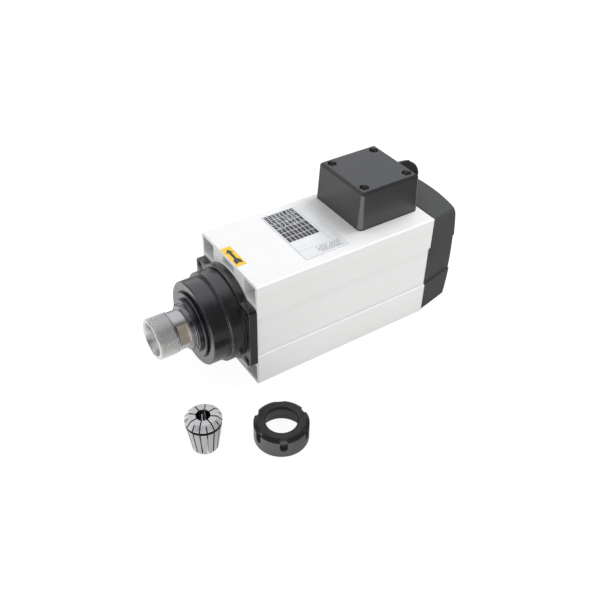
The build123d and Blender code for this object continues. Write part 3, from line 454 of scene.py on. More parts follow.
def make_finish(
    name, low, high, roughness, metallic=0.0, lines=None, line_scale=2600.0, fine=2500.0, slow=40.0,
    bump=0.1, bump_depth=0.04 * mm, dust=0.0, edge_tone=None, edge_radius=0.6 * mm, edge_share=0.6,
    specular=0.5, coat=0.0, coat_roughness=0.2, anisotropic=0.0, gap_shade_reach=None, lower=None,
):
    """Principled material from grain, lines, edges painted bright and gaps painted dark as shade."""
    finishes[name] = bpy.data.materials.new(name)
    finishes[name].use_nodes = True
    tree = finishes[name].node_tree
    grain = place_group(tree, grain_group, Fine_Scale=fine, Slow_Scale=slow)
    pattern, height = grain["Mottle"], grain["Height"]
    if lines:
        drawn = place_group(tree, lines, Lines=line_scale)
        pattern = weighed(tree, pattern, pattern_grain, drawn["Streak"])
        height = weighed(tree, height, height_grain, drawn["Height"])
    colour = blend_colours(tree, pattern, low, high)
    # Below a height the colour turns to another tone: on the nut it is a painted sheen on its sides.
    if lower:
        height_low, height_high, lower_tone = lower
        below = remap(tree, axes(tree, place_on_piece(tree))["Z"], height_low, height_high, 1.0, 0.0)
        colour = blend_colours(tree, below, colour, lower_tone)
    if dust:
        dusty = math_node(tree, "MULTIPLY", grain["Speck"], dust)
        colour = blend_colours(tree, dusty, colour, dust_tone)
    edges = place_group(tree, edge_wear_and_highlight, Radius=edge_radius)
    # Edges painted brighter, partly as rubbed coating and partly as painted highlight.
    if edge_tone:
        share = math_node(tree, "MULTIPLY", edges["Mask"], edge_share)
        colour = blend_colours(tree, share, colour, edge_tone)
    # Painted shade: slits and holes turn dark by how closed in they are.
    if gap_shade_reach:
        gap_shade_mask = place_group(tree, gap_shade, Reach=gap_shade_reach)
        colour = blend_colours(tree, gap_shade_mask["Mask"], colour, gap_shade_tone)
    raised = add(tree, "ShaderNodeBump", {
        "Strength": bump, "Distance": bump_depth, "Height": height, "Normal": edges["Rounded"],
    })
    feed(tree, tree.nodes["Principled BSDF"], {
        "Base Color": colour, "Roughness": remap(tree, pattern, 0.0, 1.0, *roughness),
        "Normal": raised.outputs[0], "Metallic": metallic, "Specular IOR Level": specular,
        "Coat Weight": coat, "Coat Roughness": coat_roughness, "Anisotropic": anisotropic,
    })


print("finish function ready")

# %% [markdown]
# ## Coated aluminium and printed foil
#
# The profile is extruded and then powder coated white. The lines of the die show faintly under that
# skin, and its rounded long edges are painted brighter as a highlight. Its channels take a slightly
# darker, slightly metallic tone. The nameplate is thin sheet and the label a matt yellow foil. What is
# printed on them is a thin layer, so it only needs a tone and some roughness.

# %% Finishes of the white profile, the plate and the label
extruded = {"lines": die_lines, "line_scale": 700.0, "fine": 3000.0, "bump_depth": 0.03 * mm}
printed = {"fine": 2600.0, "slow": 500.0}
make_finish(
    "white_profile", (0.80, 0.80, 0.785), (0.83, 0.83, 0.82), (0.34, 0.46), **extruded, slow=14.0, bump=0.25,
    edge_tone=(0.94, 0.94, 0.93), edge_radius=1.6 * mm, edge_share=0.9,
)
# Painted highlight: the rounded long edges of the profile are lighter.
make_finish(
    "profile_edge_highlight", (0.93, 0.93, 0.915), (0.97, 0.97, 0.955), (0.26, 0.36), **extruded, slow=14.0,
    bump=0.15, coat=0.4,
)
# Channel faces: a slightly darker, slightly metallic tone.
make_finish(
    "channel_tone", (0.76, 0.76, 0.77), (0.82, 0.82, 0.83), (0.42, 0.55), **extruded, slow=30.0, bump=0.2,
    metallic=0.1,
)
make_finish(
    "plate_metal", (0.74, 0.75, 0.77), (0.81, 0.82, 0.835), (0.30, 0.40), metallic=0.15, lines=die_lines,
    line_scale=1500.0, slow=60.0, bump=0.08, edge_tone=grey(0.88), edge_radius=0.4 * mm,
)
make_finish(
    "label_yellow", (0.84, 0.53, 0.030), (0.91, 0.60, 0.045), (0.36, 0.46), fine=1800.0, slow=120.0,
    bump=0.08, edge_tone=(0.92, 0.66, 0.12), edge_radius=0.3 * mm,
)
make_finish("pale_print", (0.50, 0.51, 0.53), (0.60, 0.61, 0.63), (0.40, 0.52), **printed, bump=0.05)
make_finish("grey_print", (0.20, 0.205, 0.215), (0.28, 0.285, 0.295), (0.40, 0.52), **printed, bump=0.05)
make_finish("printed_ink", (0.040, 0.041, 0.045), (0.065, 0.066, 0.070), (0.42, 0.55), **printed)
print("finishes so far:", len(finishes))

# %% [markdown]
# ## Turned and ground metal
#
# Nearly everything in front is made on a lathe, so most of these finishes have rings about an axis:
# that of the spindle, the nut or the collet. The barrel and its flange are anodised black, and their
# edges are painted bright, partly as rubbed coating and partly as highlight. The nose is ground
# steel, the rings behind it are darker, the nut is blackened, and the collet is ground all over. Bare
# steel is metallic here. A layer that hides the metal is not, so that it shines as a thin dark
# varnish does.

# %% Finishes of the metal in front
turned = {"metallic": 1.0, "lines": spindle_rings, "bump_depth": 0.01 * mm}
ground = {"lines": collet_rings, "bump": 0.04, "bump_depth": 0.01 * mm}
# Painted highlight: bright thin lines on the edges of the black barrel and flange.
make_finish(
    "black_anodised", (0.006, 0.006, 0.007), (0.011, 0.011, 0.012), (0.20, 0.29), lines=spindle_rings,
    line_scale=1500.0, fine=4000.0, slow=55.0, bump=0.06, bump_depth=0.02 * mm, dust=0.04, specular=1.0,
    coat=0.3, coat_roughness=0.18, edge_tone=(0.48, 0.48, 0.49), edge_share=0.8,
)
make_finish(
    "black_screws", grey(0.028), grey(0.055), (0.28, 0.42), metallic=0.5, slow=400.0, edge_tone=grey(0.40),
    edge_radius=0.3 * mm,
)
make_finish(
    "turned_steel", grey(0.50), (0.60, 0.595, 0.585), (0.15, 0.24), **turned, line_scale=2200.0, slow=90.0,
    bump=0.05, edge_tone=(0.88, 0.88, 0.87), edge_radius=0.4 * mm, anisotropic=0.3,
)
make_finish(
    "dark_steel", (0.105, 0.105, 0.113), (0.175, 0.175, 0.185), (0.20, 0.32), **turned, line_scale=2200.0,
    slow=120.0, bump=0.05, edge_tone=(0.55, 0.55, 0.56), edge_radius=0.5 * mm,
)
# Painted shade and reflections: the collar is dark with wide bright streaks.
make_finish(
    "painted_collar_shade", (0.13, 0.13, 0.135), (0.30, 0.30, 0.305), (0.16, 0.26), **turned, line_scale=900.0,
    slow=120.0, bump=0.05, edge_tone=grey(0.70), edge_radius=0.4 * mm, edge_share=0.8,
)
make_finish(
    "ground_socket", grey(0.70), grey(0.80), (0.26, 0.34), **turned, line_scale=1800.0, slow=200.0, bump=0.04
)
make_finish(
    "cut_thread", (0.66, 0.655, 0.645), (0.78, 0.77, 0.76), (0.40, 0.52), metallic=0.75, slow=500.0,
    bump=0.05, bump_depth=0.01 * mm, edge_tone=(0.86, 0.86, 0.85), edge_radius=0.2 * mm,
)
# Painted reflection: the milled flats are tinted warm.
make_finish(
    "milled_steel_warm_reflection", (0.80, 0.70, 0.57), (0.93, 0.83, 0.70), (0.34, 0.46), metallic=1.0, fine=1800.0,
    slow=300.0, bump=0.12, bump_depth=0.01 * mm,
)
# Painted sheen: the nut's sides are lighter than its top.
make_finish(
    "black_oxide_steel", (0.020, 0.020, 0.021), (0.046, 0.046, 0.048), (0.24, 0.36), metallic=0.55,
    lines=nut_rings, line_scale=2400.0, bump=0.06, bump_depth=0.02 * mm, slow=160.0, dust=0.05,
    lower=(17.2 * mm, 18.0 * mm, (0.135, 0.135, 0.140)), gap_shade_reach=5.0 * mm,
    edge_tone=(0.25, 0.25, 0.26), edge_radius=0.5 * mm,
)
make_finish(
    "collet_steel", (0.57, 0.56, 0.56), (0.68, 0.67, 0.67), (0.18, 0.28), **ground, metallic=1.0,
    gap_shade_reach=3.0 * mm, slow=120.0, lower=(29.0 * mm, 30.0 * mm, (0.37, 0.36, 0.36)),
    edge_tone=(0.90, 0.90, 0.89), edge_radius=0.3 * mm,
)
# Painted highlight: the cone is almost white and less metallic.
make_finish(
    "ground_cone_highlight", (0.86, 0.85, 0.85), (0.94, 0.93, 0.93), (0.40, 0.50), **ground, metallic=0.75,
    gap_shade_reach=3.0 * mm, slow=120.0, edge_tone=(0.95, 0.95, 0.94), edge_radius=0.2 * mm,
)
# Painted shade: the bore, the slits and the groove are almost black.
make_finish(
    "painted_bore_shade", (0.022, 0.022, 0.021), (0.045, 0.045, 0.043), (0.22, 0.32), **ground, metallic=1.0,
    line_scale=2200.0, slow=200.0,
)
print("finishes so far:", len(finishes))

# %% [markdown]
# ## Plastic and rubber
#
# The junction box, the fan cover and the gland are moulded. A fine grain in the mould breaks up the
# reflections into a soft sheen, and the upright corners of the box are painted greyer as a highlight.
# The gaskets are rubber, which is rough and hardly shines. None of these is metallic, so the specular
# level and the roughness make the difference between them.

# %% Finishes of plastic and rubber
moulded = {"fine": 1900.0, "bump": 0.25}
make_finish(
    "black_moulding", (0.015, 0.016, 0.016), (0.024, 0.025, 0.025), (0.38, 0.48), **moulded, slow=18.0,
    specular=1.0, coat=0.1, dust=0.03, edge_tone=(0.12, 0.12, 0.125), edge_radius=1.4 * mm,
)
# Painted highlight: the upright corners of the box are greyer.
make_finish(
    "box_corner_highlight", (0.105, 0.106, 0.107), (0.150, 0.151, 0.153), (0.38, 0.48), **moulded, slow=90.0,
    specular=1.0, dust=0.06,
)
make_finish(
    "cover_moulding", (0.057, 0.058, 0.058), (0.070, 0.071, 0.070), (0.44, 0.54), **moulded, slow=18.0,
    specular=0.25, dust=0.03, edge_tone=(0.085, 0.085, 0.088), edge_radius=0.9 * mm, edge_share=0.5,
)
make_finish(
    "gland_plastic", (0.008, 0.008, 0.009), (0.014, 0.014, 0.015), (0.34, 0.46), fine=2600.0, slow=60.0,
    bump=0.2, specular=0.25, edge_tone=grey(0.07), edge_radius=0.5 * mm,
)
make_finish(
    "gasket_rubber", grey(0.010), grey(0.018), (0.62, 0.78), fine=1500.0, slow=90.0, bump=0.4, specular=0.3
)
make_finish(
    "fan_plastic", (0.016, 0.016, 0.017), (0.026, 0.026, 0.027), (0.38, 0.50), fine=2200.0, slow=45.0,
    bump=0.2, dust=0.15, edge_tone=grey(0.07),
)
make_finish(
    "terminal_plastic", (0.030, 0.016, 0.010), (0.050, 0.026, 0.016), (0.32, 0.45), slow=120.0,
    edge_tone=(0.10, 0.06, 0.04),
)
print("finishes so far:", len(finishes))

# %% [markdown]
# ## Metal inside the motor
#
# These pieces are hidden in the closed motor and only show when it is taken apart, so their finishes
# are simple: bright rings for the bearings, coarse lines for the stacked sheets of the cores, and a
# coat of lacquer over the copper of the windings.

# %% Finishes of the metal inside
rings = {"lines": spindle_rings}
make_finish("bearing_steel", grey(0.55), grey(0.70), (0.12, 0.22), **rings, metallic=1.0, bump=0.08)
make_finish(
    "plain_aluminium", (0.52, 0.53, 0.54), (0.64, 0.65, 0.66), (0.34, 0.50), **rings, metallic=1.0,
    line_scale=1400.0, bump=0.2, edge_tone=grey(0.8),
)
make_finish(
    "zinc_screws", (0.50, 0.50, 0.49), (0.66, 0.66, 0.64), (0.26, 0.40), metallic=1.0, slow=500.0,
    edge_tone=grey(0.8), edge_radius=0.3 * mm,
)
make_finish("spring_steel", (0.20, 0.20, 0.21), (0.32, 0.32, 0.33), (0.26, 0.38), **rings, metallic=1.0)
make_finish(
    "laminations", (0.16, 0.16, 0.17), (0.34, 0.34, 0.35), (0.40, 0.60), **rings, metallic=0.9,
    line_scale=1000.0, bump=0.5, bump_depth=0.1 * mm,
)
make_finish(
    "copper_winding", (0.48, 0.16, 0.06), (0.66, 0.26, 0.10), (0.28, 0.44), metallic=0.9, fine=900.0,
    slow=260.0, bump=0.5, bump_depth=0.2 * mm, coat=0.5,
)
make_finish("terminal_brass", (0.60, 0.42, 0.15), (0.74, 0.54, 0.22), (0.20, 0.34), metallic=1.0, slow=400.0)
print("all finishes:", len(finishes))

# %% [markdown]
# ## From a working solid to a finished piece
#
# A CAD node arrives as loose triangles. A copy of it is welded, its flat regions are joined, and the
# large ones are split again into clean triangles, so that what is left are the real edges. A small
# live bevel breaks them as a maker would. It is clamped, so it gets smaller where holes crowd an
# edge, and there the normal that comes with each finish does the rest. Weighted normals keep the
# large faces flat. The copy stands for its node.

# %% Weld, join and break the edges
hair = 0.002 * mm
weld_distance = hair
flat_angle = math.radians(0.6)
edge_angle = math.radians(32)
round_segments, round_profile = 4, 0.5
quad_corners = 4
normal_weight = 80


def plain_object(name, mesh, finish):
    """Object at the origin with one finish."""
    piece = bpy.data.objects.new(name, mesh)
    scene.collection.objects.link(piece)
    mesh.materials.clear()
    mesh.materials.append(finishes[finish])
    return piece


def welded_copy(node, picked=None, offset=0.0):
    """Merged copy of a CAD node's mesh, with its flat regions joined and split again cleanly."""
    mesh = nodes[node].data.copy()
    work = bmesh.new()
    work.from_mesh(mesh)
    bmesh.ops.remove_doubles(work, verts=work.verts, dist=weld_distance)
    bmesh.ops.dissolve_limit(work, angle_limit=flat_angle, verts=work.verts, edges=work.edges)
    if picked:
        chosen = [edge for edge in work.edges if picked(edge)]
        bmesh.ops.bevel(
            work, geom=chosen, offset=offset, segments=round_segments, profile=round_profile, affect="EDGES"
        )
        print(node, "long edges rounded:", len(chosen))
    large = [face for face in work.faces if len(face.verts) > quad_corners]
    bmesh.ops.triangulate(work, faces=large, quad_method="BEAUTY", ngon_method="BEAUTY")
    work.to_mesh(mesh)
    work.free()
    return mesh


def smooth(mesh):
    """Smooth shading, with the sharp edges kept."""
    mesh.polygons.foreach_set("use_smooth", [True] * len(mesh.polygons))
    mesh.set_sharp_from_angle(angle=edge_angle)


def break_edges(piece, width, segments):
    """Live bevel on the sharp edges, with weighted normals after it."""
    bevel = piece.modifiers.new("broken_edges", "BEVEL")
    bevel.width = width
    bevel.segments = segments
    bevel.limit_method = "ANGLE"
    bevel.angle_limit = edge_angle
    bevel.use_clamp_overlap = True
    bevel.miter_outer = "MITER_ARC"
    weigh = piece.modifiers.new("flat_faces", "WEIGHTED_NORMAL")
    weigh.keep_sharp = True
    weigh.weight = normal_weight


def stand_for(piece, body, slot, *replaced):
    """Lets a piece ride on its body, in place of its CAD nodes if it has any."""
    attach(piece, body)
    if replaced:
        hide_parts(*replaced)
    return piece


def dress(node, body, finish, width, segments=2, picked=None, offset=0.0, slot=None):
    """Finished piece from a CAD node."""
    piece = plain_object(node + "_finished", welded_copy(node, picked, offset), finish)
    smooth(piece.data)
    break_edges(piece, width, segments)
    print(node, "faces", len(piece.data.polygons), "edge", round(width / mm, 2), "mm")
    return stand_for(piece, body, slot or finish, node)


def second_finish(piece, finish, chosen):
    """Gives the faces that a test picks a finish of their own, and tells how many."""
    mesh = piece.data
    mesh.materials.append(finishes[finish])
    picked = [face for face in mesh.polygons if chosen(face.center, face.normal)]
    for face in picked:
        face.material_index = len(mesh.materials) - 1
    print(piece.name, "faces in", finish + ":", len(picked))


print("edges count as sharp from", round(math.degrees(edge_angle)), "degrees")

# %% [markdown]
# ## Casings and covers
#
# Each of these is one call of the function above. The profile needs more, because powder flows round
# its long edges: they get a real rounding of four steps before the faces are split. Where one piece
# shows two surfaces, a short test on the place and the direction of each face picks the faces that
# take the second finish, which is easier to follow than a mask.

# %% Casings and covers
profile_length = housing_high.y - housing_low.y
half_profile = (housing_high.x - housing_low.x) / 2
whole_length = 0.95
edge_round = 1.1 * mm
band_depth = 2.0 * mm
skin_margin = 0.05 * mm
least_slant, most_slant = 0.12, 0.985
corner_slant = 0.25
upright, straight, sideways = 0.3, 0.1, 0.5


def long_outer_edge(edge):
    """Whether an edge of the profile runs its whole length on one of its outer corners."""
    if edge.calc_length() < whole_length * profile_length or not edge.is_manifold:
        return False
    at_side = abs(edge.verts[0].co.x) > half_profile - hair
    return at_side and edge.is_convex and edge.calc_face_angle() > edge_angle


def on_rounded_edge(place, normal):
    """Whether a face of the profile lies on one of its rounded long edges."""
    slanted = least_slant < abs(normal.x) < most_slant and abs(normal.y) < straight
    return slanted and abs(place.x) > half_profile - edge_round


def in_channel(place, normal):
    """Whether a face of the profile lies in one of its channels."""
    level = housing_low.z + skin_margin < place.z < housing_high.z - skin_margin
    inward = abs(place.x) < half_profile - band_depth - skin_margin
    return level and inward and abs(normal.y) < sideways


def on_box_corner(place, normal):
    """Whether a face of the junction box cover lies on one of its upright corners."""
    return min(abs(normal.x), abs(normal.y)) > corner_slant and abs(normal.z) < upright


profile = dress(
    "housing_extrusion", "housing", "white_profile", 0.2 * mm, picked=long_outer_edge, offset=edge_round
)
# The rounded long edges take the painted highlight.
second_finish(profile, "profile_edge_highlight", on_rounded_edge)
# The channel faces take their darker tone.
second_finish(profile, "channel_tone", in_channel)
dress("front_bearing_housing", "housing", "black_anodised", 0.25 * mm)
dress("fan_cover", "housing", "cover_moulding", 0.25 * mm, slot="black_moulding")
box_cover = dress("junction_box_cover", "housing", "black_moulding", 0.3 * mm)
# The upright corners take the painted highlight.
second_finish(box_cover, "box_corner_highlight", on_box_corner)
dress("junction_box_gasket", "housing", "gasket_rubber", 0.1 * mm)

# %% [markdown]
# ## Rings, nut and collet
#
# These are turned pieces. The more holes and slits crowd a piece, the finer its edges are broken.
# The collet is grey steel outside. Its ground cone, which the nut presses on, is painted almost white
# as a highlight, and its bore, its slits and its snap groove are painted dark as shade. The tests
# measure from the middle of the collet's box, because its mesh keeps the place that it has in the
# model.

# %% Rings, nut and collet
bore_radius = 6.0 * mm
collet_radius = 16.5 * mm
cone_length = 4.3 * mm
groove_radius = 13.9 * mm
groove_low, groove_high = 29.8 * mm, 33.5 * mm
wall_margin = 0.3 * mm
slit_margin = 0.4 * mm
along_slit = 0.45
cone_flattest, cone_steepest = 0.85, 0.25


def off_bore(place):
    """Way from the middle of the collet's bore to a place, seen from above."""
    return place.xy - collet_middle.xy


def inside_collet(place, normal):
    """Whether a face of the collet lies in its bore or in one of its slits."""
    out = off_bore(place)
    across = abs(normal.xy.dot(out.normalized()))
    in_slit = across < along_slit and abs(normal.z) < upright and out.length < collet_radius - slit_margin
    return out.length < bore_radius + wall_margin or in_slit


def in_groove(place, normal):
    """Whether a face of the collet is the floor of its snap groove."""
    near_floor = abs(off_bore(place).length - groove_radius) < wall_margin
    return near_floor and groove_low < place.z < groove_high and abs(normal.z) < upright


def on_cone(place, normal):
    """Whether a face of the collet lies on the cone that the nut presses on."""
    return cone_steepest < normal.z < cone_flattest and place.z > collet_high.z - cone_length - hair


dress("labyrinth_ring", "spindle", "dark_steel", 0.25 * mm, segments=3)
dress("ring_nut", "spindle", "dark_steel", 0.1 * mm)
dress("collet_nut", "loose_nut", "black_oxide_steel", 0.3 * mm)
collet = dress("collet", "loose_collet", "collet_steel", 0.07 * mm)
# The cone takes its painted highlight.
second_finish(collet, "ground_cone_highlight", on_cone)
# The bore, the slits and the groove floor take the painted shade.
second_finish(collet, "painted_bore_shade", inside_collet)
second_finish(collet, "painted_bore_shade", in_groove)

# %% [markdown]
# ## Cable gland, plate and label
#
# The gland is moulded, and its dome nut presses a rubber seal together. Plate and label are cut from
# thin sheet and foil, so only a hair of their edges is broken.

# %% Cable gland, plate and label
dress("cable_gland_body", "housing", "gland_plastic", 0.15 * mm)
dress("gland_dome_nut", "housing", "gland_plastic", 0.15 * mm)
dress("gland_seal", "housing", "gasket_rubber", 0.2 * mm)
dress("nameplate", "housing", "plate_metal", 0.1 * mm)
dress("rotation_label", "housing", "label_yellow", 0.05 * mm)

# %% [markdown]
# ## The shaft and its nose
#
# The shaft is one turned piece, so it is turned here too: half of its outline is carried round the
# axis in many small steps. Turning it again, and not dressing the working solid, gives each corner
# the small radius that a lathe leaves, and enough rings on the nose to cut a real thread into.
# The two spanner flats hold back the radius of the points that would stand in front of them. The
# function that joins the rings is used again for the screws and for the marks on plate and label.

# %% Join rings of points into a closed skin


def add_skin(work, point_rings, poles=(None, None)):
    """Joins rings of points and closes both ends, round a pole or else with one flat face."""
    loops = [[work.verts.new(point) for point in ring] for ring in point_rings]
    count = len(loops[0])
    pairs = [(n, (n + 1) % count) for n in range(count)]
    for first, second in zip(loops, loops[1:]):
        for here, after in pairs:
            work.faces.new((first[here], first[after], second[after], second[here]))
    for pole, loop in zip(poles, (loops[0], loops[-1])):
        if pole is None:
            work.faces.new(loop)
            continue
        middle = work.verts.new(pole)
        for here, after in pairs:
            work.faces.new((loop[here], loop[after], middle))


def closed_mesh(name, *skins):
    """Mesh of one or more closed skins, with their faces turned outward."""
    work = bmesh.new()
    for skin in skins:
        add_skin(work, *skin)
    bmesh.ops.recalc_face_normals(work, faces=work.faces)
    mesh = bpy.data.meshes.new(name)
    work.to_mesh(mesh)
    work.free()
    return mesh


print("skin helpers ready")

# %% Turn the shaft
shaft_low, shaft_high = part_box("spindle_shaft")
nose_front = shaft_low.y
bearing_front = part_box("front_bearing_inner_rings")[0].y
lock_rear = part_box("bearing_lock_nut")[1].y
collar_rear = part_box("ring_nut")[0].y
labyrinth_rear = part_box("labyrinth_ring")[1].y
rear_bearing_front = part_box("rear_bearing_inner_ring")[0].y
rear_bearing_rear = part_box("rear_bearing_inner_ring")[1].y
nose_radius = 20.0 * mm
nose_chamfer = 1.3 * mm
undercut_radius = 18.6 * mm
thread_ring_radius = 19.6 * mm
neck_radius = 18.7 * mm
collar_radius = 21.5 * mm
seat_radius = 22.0 * mm
shoulder_radius = 24.5 * mm
bearing_radius = 20.0 * mm
rotor_radius = 19.0 * mm
rear_shoulder_radius = 16.0 * mm
rear_bearing_radius = 12.5 * mm
fan_seat_radius = 10.0 * mm
collar_width, neck_length = 3.7 * mm, 11.8 * mm
ring_width, undercut_width = 1.5 * mm, 0.7 * mm
rear_shoulder_width, seat_offset = 12.0 * mm, 1.0 * mm
neck_rear = collar_rear - collar_width
neck_front = neck_rear - neck_length
undercut_rear = neck_front - ring_width
thread_rear = undercut_rear - undercut_width
rear_shoulder_front = rear_bearing_front - rear_shoulder_width
fan_seat_front = rear_bearing_rear + seat_offset
socket_mouth = 16.0 * mm
socket_rim = 0.5 * mm
socket_depth = 32.0 * mm
socket_half_angle = math.radians(8.0)
socket_end = socket_mouth - socket_depth * math.tan(socket_half_angle)
relief_radius = 10.5 * mm
relief_depth = socket_depth + 10.0 * mm
drill_point = 5.25 * mm
corner_ease = 0.22 * mm
spanner_angle = math.radians(22.0)
spanner_distance = 16.0 * mm
spanner_margin = 0.6 * mm
flat_front, flat_rear = neck_front + spanner_margin, neck_rear - spanner_margin
flat_steps, round_steps = 34, 62
least_facing = 0.1
thread_pitch = 1.5 * mm
rings_per_pitch = 12


def eased(points, ease):
    """Outline with every corner rounded by a short curve."""
    points = [Vector(point) for point in points]
    rounded = [points[0]]
    for before, corner, after in zip(points, points[1:], points[2:]):
        back, ahead = before - corner, after - corner
        reach = min(ease, back.length / 3, ahead.length / 3)
        start = corner + back.normalized() * reach
        end = corner + ahead.normalized() * reach
        rounded += [start, (start + end) / 4 + corner / 2, end]
    return rounded + [points[-1]]


def parted(points, low, high, step):
    """Outline with extra points on its long stretches between two places on the axis."""
    fine = [points[0]]
    for start, end in zip(points, points[1:]):
        inside = low - step < min(start.y, end.y) and max(start.y, end.y) < high + step
        count = max(1, round((end - start).length / step)) if inside and start.x > socket_mouth else 1
        fine += [start.lerp(end, n / count) for n in range(1, count + 1)]
    return fine


def shaft_angles():
    """Angles round the axis, with a point on each edge of both spanner flats."""
    half = math.acos(spanner_distance / neck_radius)
    angles = []
    for side in (0.0, math.pi):
        start = spanner_angle + side - half
        angles += [start + 2 * half * n / flat_steps for n in range(flat_steps)]
        angles += [start + 2 * half + (math.pi - 2 * half) * n / round_steps for n in range(round_steps)]
    return angles


def shaft_ring(radius, y, angles):
    """Ring of points about the spindle axis, held back by the spanner flats between their ends."""
    flattened = flat_front - hair / 2 < y < flat_rear + hair / 2 and radius >= socket_mouth
    ring = []
    for angle in angles:
        facing = max(abs(math.cos(angle - spanner_angle)), least_facing)
        reach = min(radius, spanner_distance / facing) if flattened else radius
        ring.append((reach * math.cos(angle), y, axis_height + reach * math.sin(angle)))
    return ring


shaft_points = eased([
    (0, nose_front + relief_depth + drill_point), (relief_radius, nose_front + relief_depth),
    (relief_radius, nose_front + socket_depth), (socket_end, nose_front + socket_depth),
    (socket_mouth, nose_front + socket_rim), (socket_mouth + socket_rim, nose_front),
    (nose_radius - nose_chamfer, nose_front), (nose_radius, nose_front + nose_chamfer),
    (nose_radius, thread_rear), (undercut_radius, thread_rear), (undercut_radius, undercut_rear),
    (thread_ring_radius, undercut_rear), (thread_ring_radius, neck_front), (neck_radius, neck_front),
    (neck_radius, neck_rear), (collar_radius, neck_rear), (collar_radius, collar_rear),
    (seat_radius, collar_rear), (seat_radius, labyrinth_rear), (shoulder_radius, labyrinth_rear),
    (shoulder_radius, bearing_front), (bearing_radius, bearing_front), (bearing_radius, lock_rear),
    (rotor_radius, lock_rear), (rotor_radius, rear_shoulder_front),
    (rear_shoulder_radius, rear_shoulder_front), (rear_shoulder_radius, rear_bearing_front),
    (rear_bearing_radius, rear_bearing_front), (rear_bearing_radius, fan_seat_front),
    (fan_seat_radius, fan_seat_front), (fan_seat_radius, shaft_high.y), (0, shaft_high.y),
], corner_ease)
neck_at = max(n for n, p in enumerate(shaft_points) if p.y < flat_front and abs(p.x - neck_radius) < hair)
flat_ends = (flat_front - hair, flat_front, flat_rear, flat_rear + hair)
shaft_points[neck_at + 1:neck_at + 1] = [Vector((neck_radius, y)) for y in flat_ends]
shaft_points = parted(shaft_points, nose_front, thread_rear, thread_pitch / rings_per_pitch)
shaft_rings = [shaft_ring(*point, shaft_angles()) for point in shaft_points[1:-1]]
shaft_poles = [(0, point.y, axis_height) for point in (shaft_points[0], shaft_points[-1])]
shaft_mesh = closed_mesh("spindle_shaft_finished", (shaft_rings, shaft_poles))
shaft = plain_object("spindle_shaft_finished", shaft_mesh, "turned_steel")
print("shaft rings:", len(shaft_rings), "faces:", len(shaft_mesh.polygons))

# %% [markdown]
# ## The thread on the nose
#
# A thread is a groove that advances by one pitch for each turn, which is a rule, so Geometry Nodes
# cut it. Each point knows how far along the axis it is and how far round. Adding the two gives its
# phase in the thread, and the phase gives the radius that the thread allows there. Taking the
# smaller of that radius and the point's own leaves the chamfer and everything else as it was.

# %% Helpers for Geometry Nodes


def start_tree(name, inputs):
    """New Geometry Nodes tree, with a finish as its last input; returns it and both ends."""
    inputs = {"Geometry": "Geometry", **inputs, "Finish": "Material"}
    return start_group(name, inputs, {"Geometry": "Geometry"}, "GeometryNodeTree")


def end_tree(tree, given, out, geometry):
    """Ends a tree with real geometry and its finish."""
    real = add(tree, "GeometryNodeRealizeInstances", {0: geometry}).outputs[0]
    dressed = add(tree, "GeometryNodeSetMaterial", {"Geometry": real, "Material": given["Finish"]})
    feed(tree, out, {0: dressed.outputs[0]})
    return tree


def grow(piece, tree, finish, **numbers):
    """Runs a tree on a piece with its inputs set, and keeps the result as a plain mesh."""
    modifier = piece.modifiers.new(tree.name, "NODES")
    modifier.node_group = tree
    values = {label.replace("_", " "): value for label, value in numbers.items()}
    values["Finish"] = finishes[finish]
    for socket in tree.interface.items_tree:
        if socket.name in values:
            modifier[socket.identifier] = values[socket.name]
    bpy.context.view_layer.update()
    grown = piece.evaluated_get(bpy.context.evaluated_depsgraph_get())
    mesh = bpy.data.meshes.new_from_object(grown)
    piece.modifiers.remove(modifier)
    piece.data = mesh
    mesh.materials.clear()
    mesh.materials.append(finishes[finish])


print("tree helpers ready")

# %% Cut the thread
thread_depth = 0.86 * mm
groove_edge, groove_floor = 0.16, 0.80
least_length = 1e-6


def build_thread():
    """Outer thread about the spindle axis, between two places on it."""
    numbers = ("Pitch", "Depth", "Outer Radius", "Front", "Rear", "Axis Height", "Least Radius")
    tree, given, out = start_tree("nose_thread", dict.fromkeys(numbers, "Float"))
    place = axes(tree, add(tree, "GeometryNodeInputPosition").outputs[0])
    across, along = place["X"], place["Y"]
    rise = math_node(tree, "SUBTRACT", place["Z"], given["Axis Height"])
    radius = distance(tree, across, rise)
    turns = math_node(tree, "DIVIDE", math_node(tree, "ARCTAN2", rise, across), 2 * math.pi)
    travel = math_node(tree, "SUBTRACT", along, given["Front"])
    advance = math_node(tree, "DIVIDE", travel, given["Pitch"])
    phase = math_node(tree, "FRACT", math_node(tree, "ADD", advance, turns))
    centred = math_node(tree, "SUBTRACT", math_node(tree, "MULTIPLY", phase, 2.0), 1.0)
    groove = remap(tree, math_node(tree, "ABSOLUTE", centred), groove_edge, groove_floor, 0.0, 1.0)
    cut = math_node(tree, "MULTIPLY", groove, given["Depth"])
    kept = math_node(tree, "MINIMUM", radius, math_node(tree, "SUBTRACT", given["Outer Radius"], cut))
    share = math_node(tree, "DIVIDE", kept, math_node(tree, "MAXIMUM", radius, least_length))
    moved = combine(
        tree, X=math_node(tree, "MULTIPLY", across, share), Y=along,
        Z=math_node(tree, "ADD", math_node(tree, "MULTIPLY", rise, share), given["Axis Height"]),
    )
    behind = math_node(tree, "LESS_THAN", along, given["Rear"])
    outside = math_node(tree, "GREATER_THAN", radius, given["Least Radius"])
    picked = math_node(tree, "MULTIPLY", behind, outside)
    shift = {"Geometry": given["Geometry"], "Selection": picked, "Position": moved}
    return end_tree(tree, given, out, add(tree, "GeometryNodeSetPosition", shift).outputs[0])


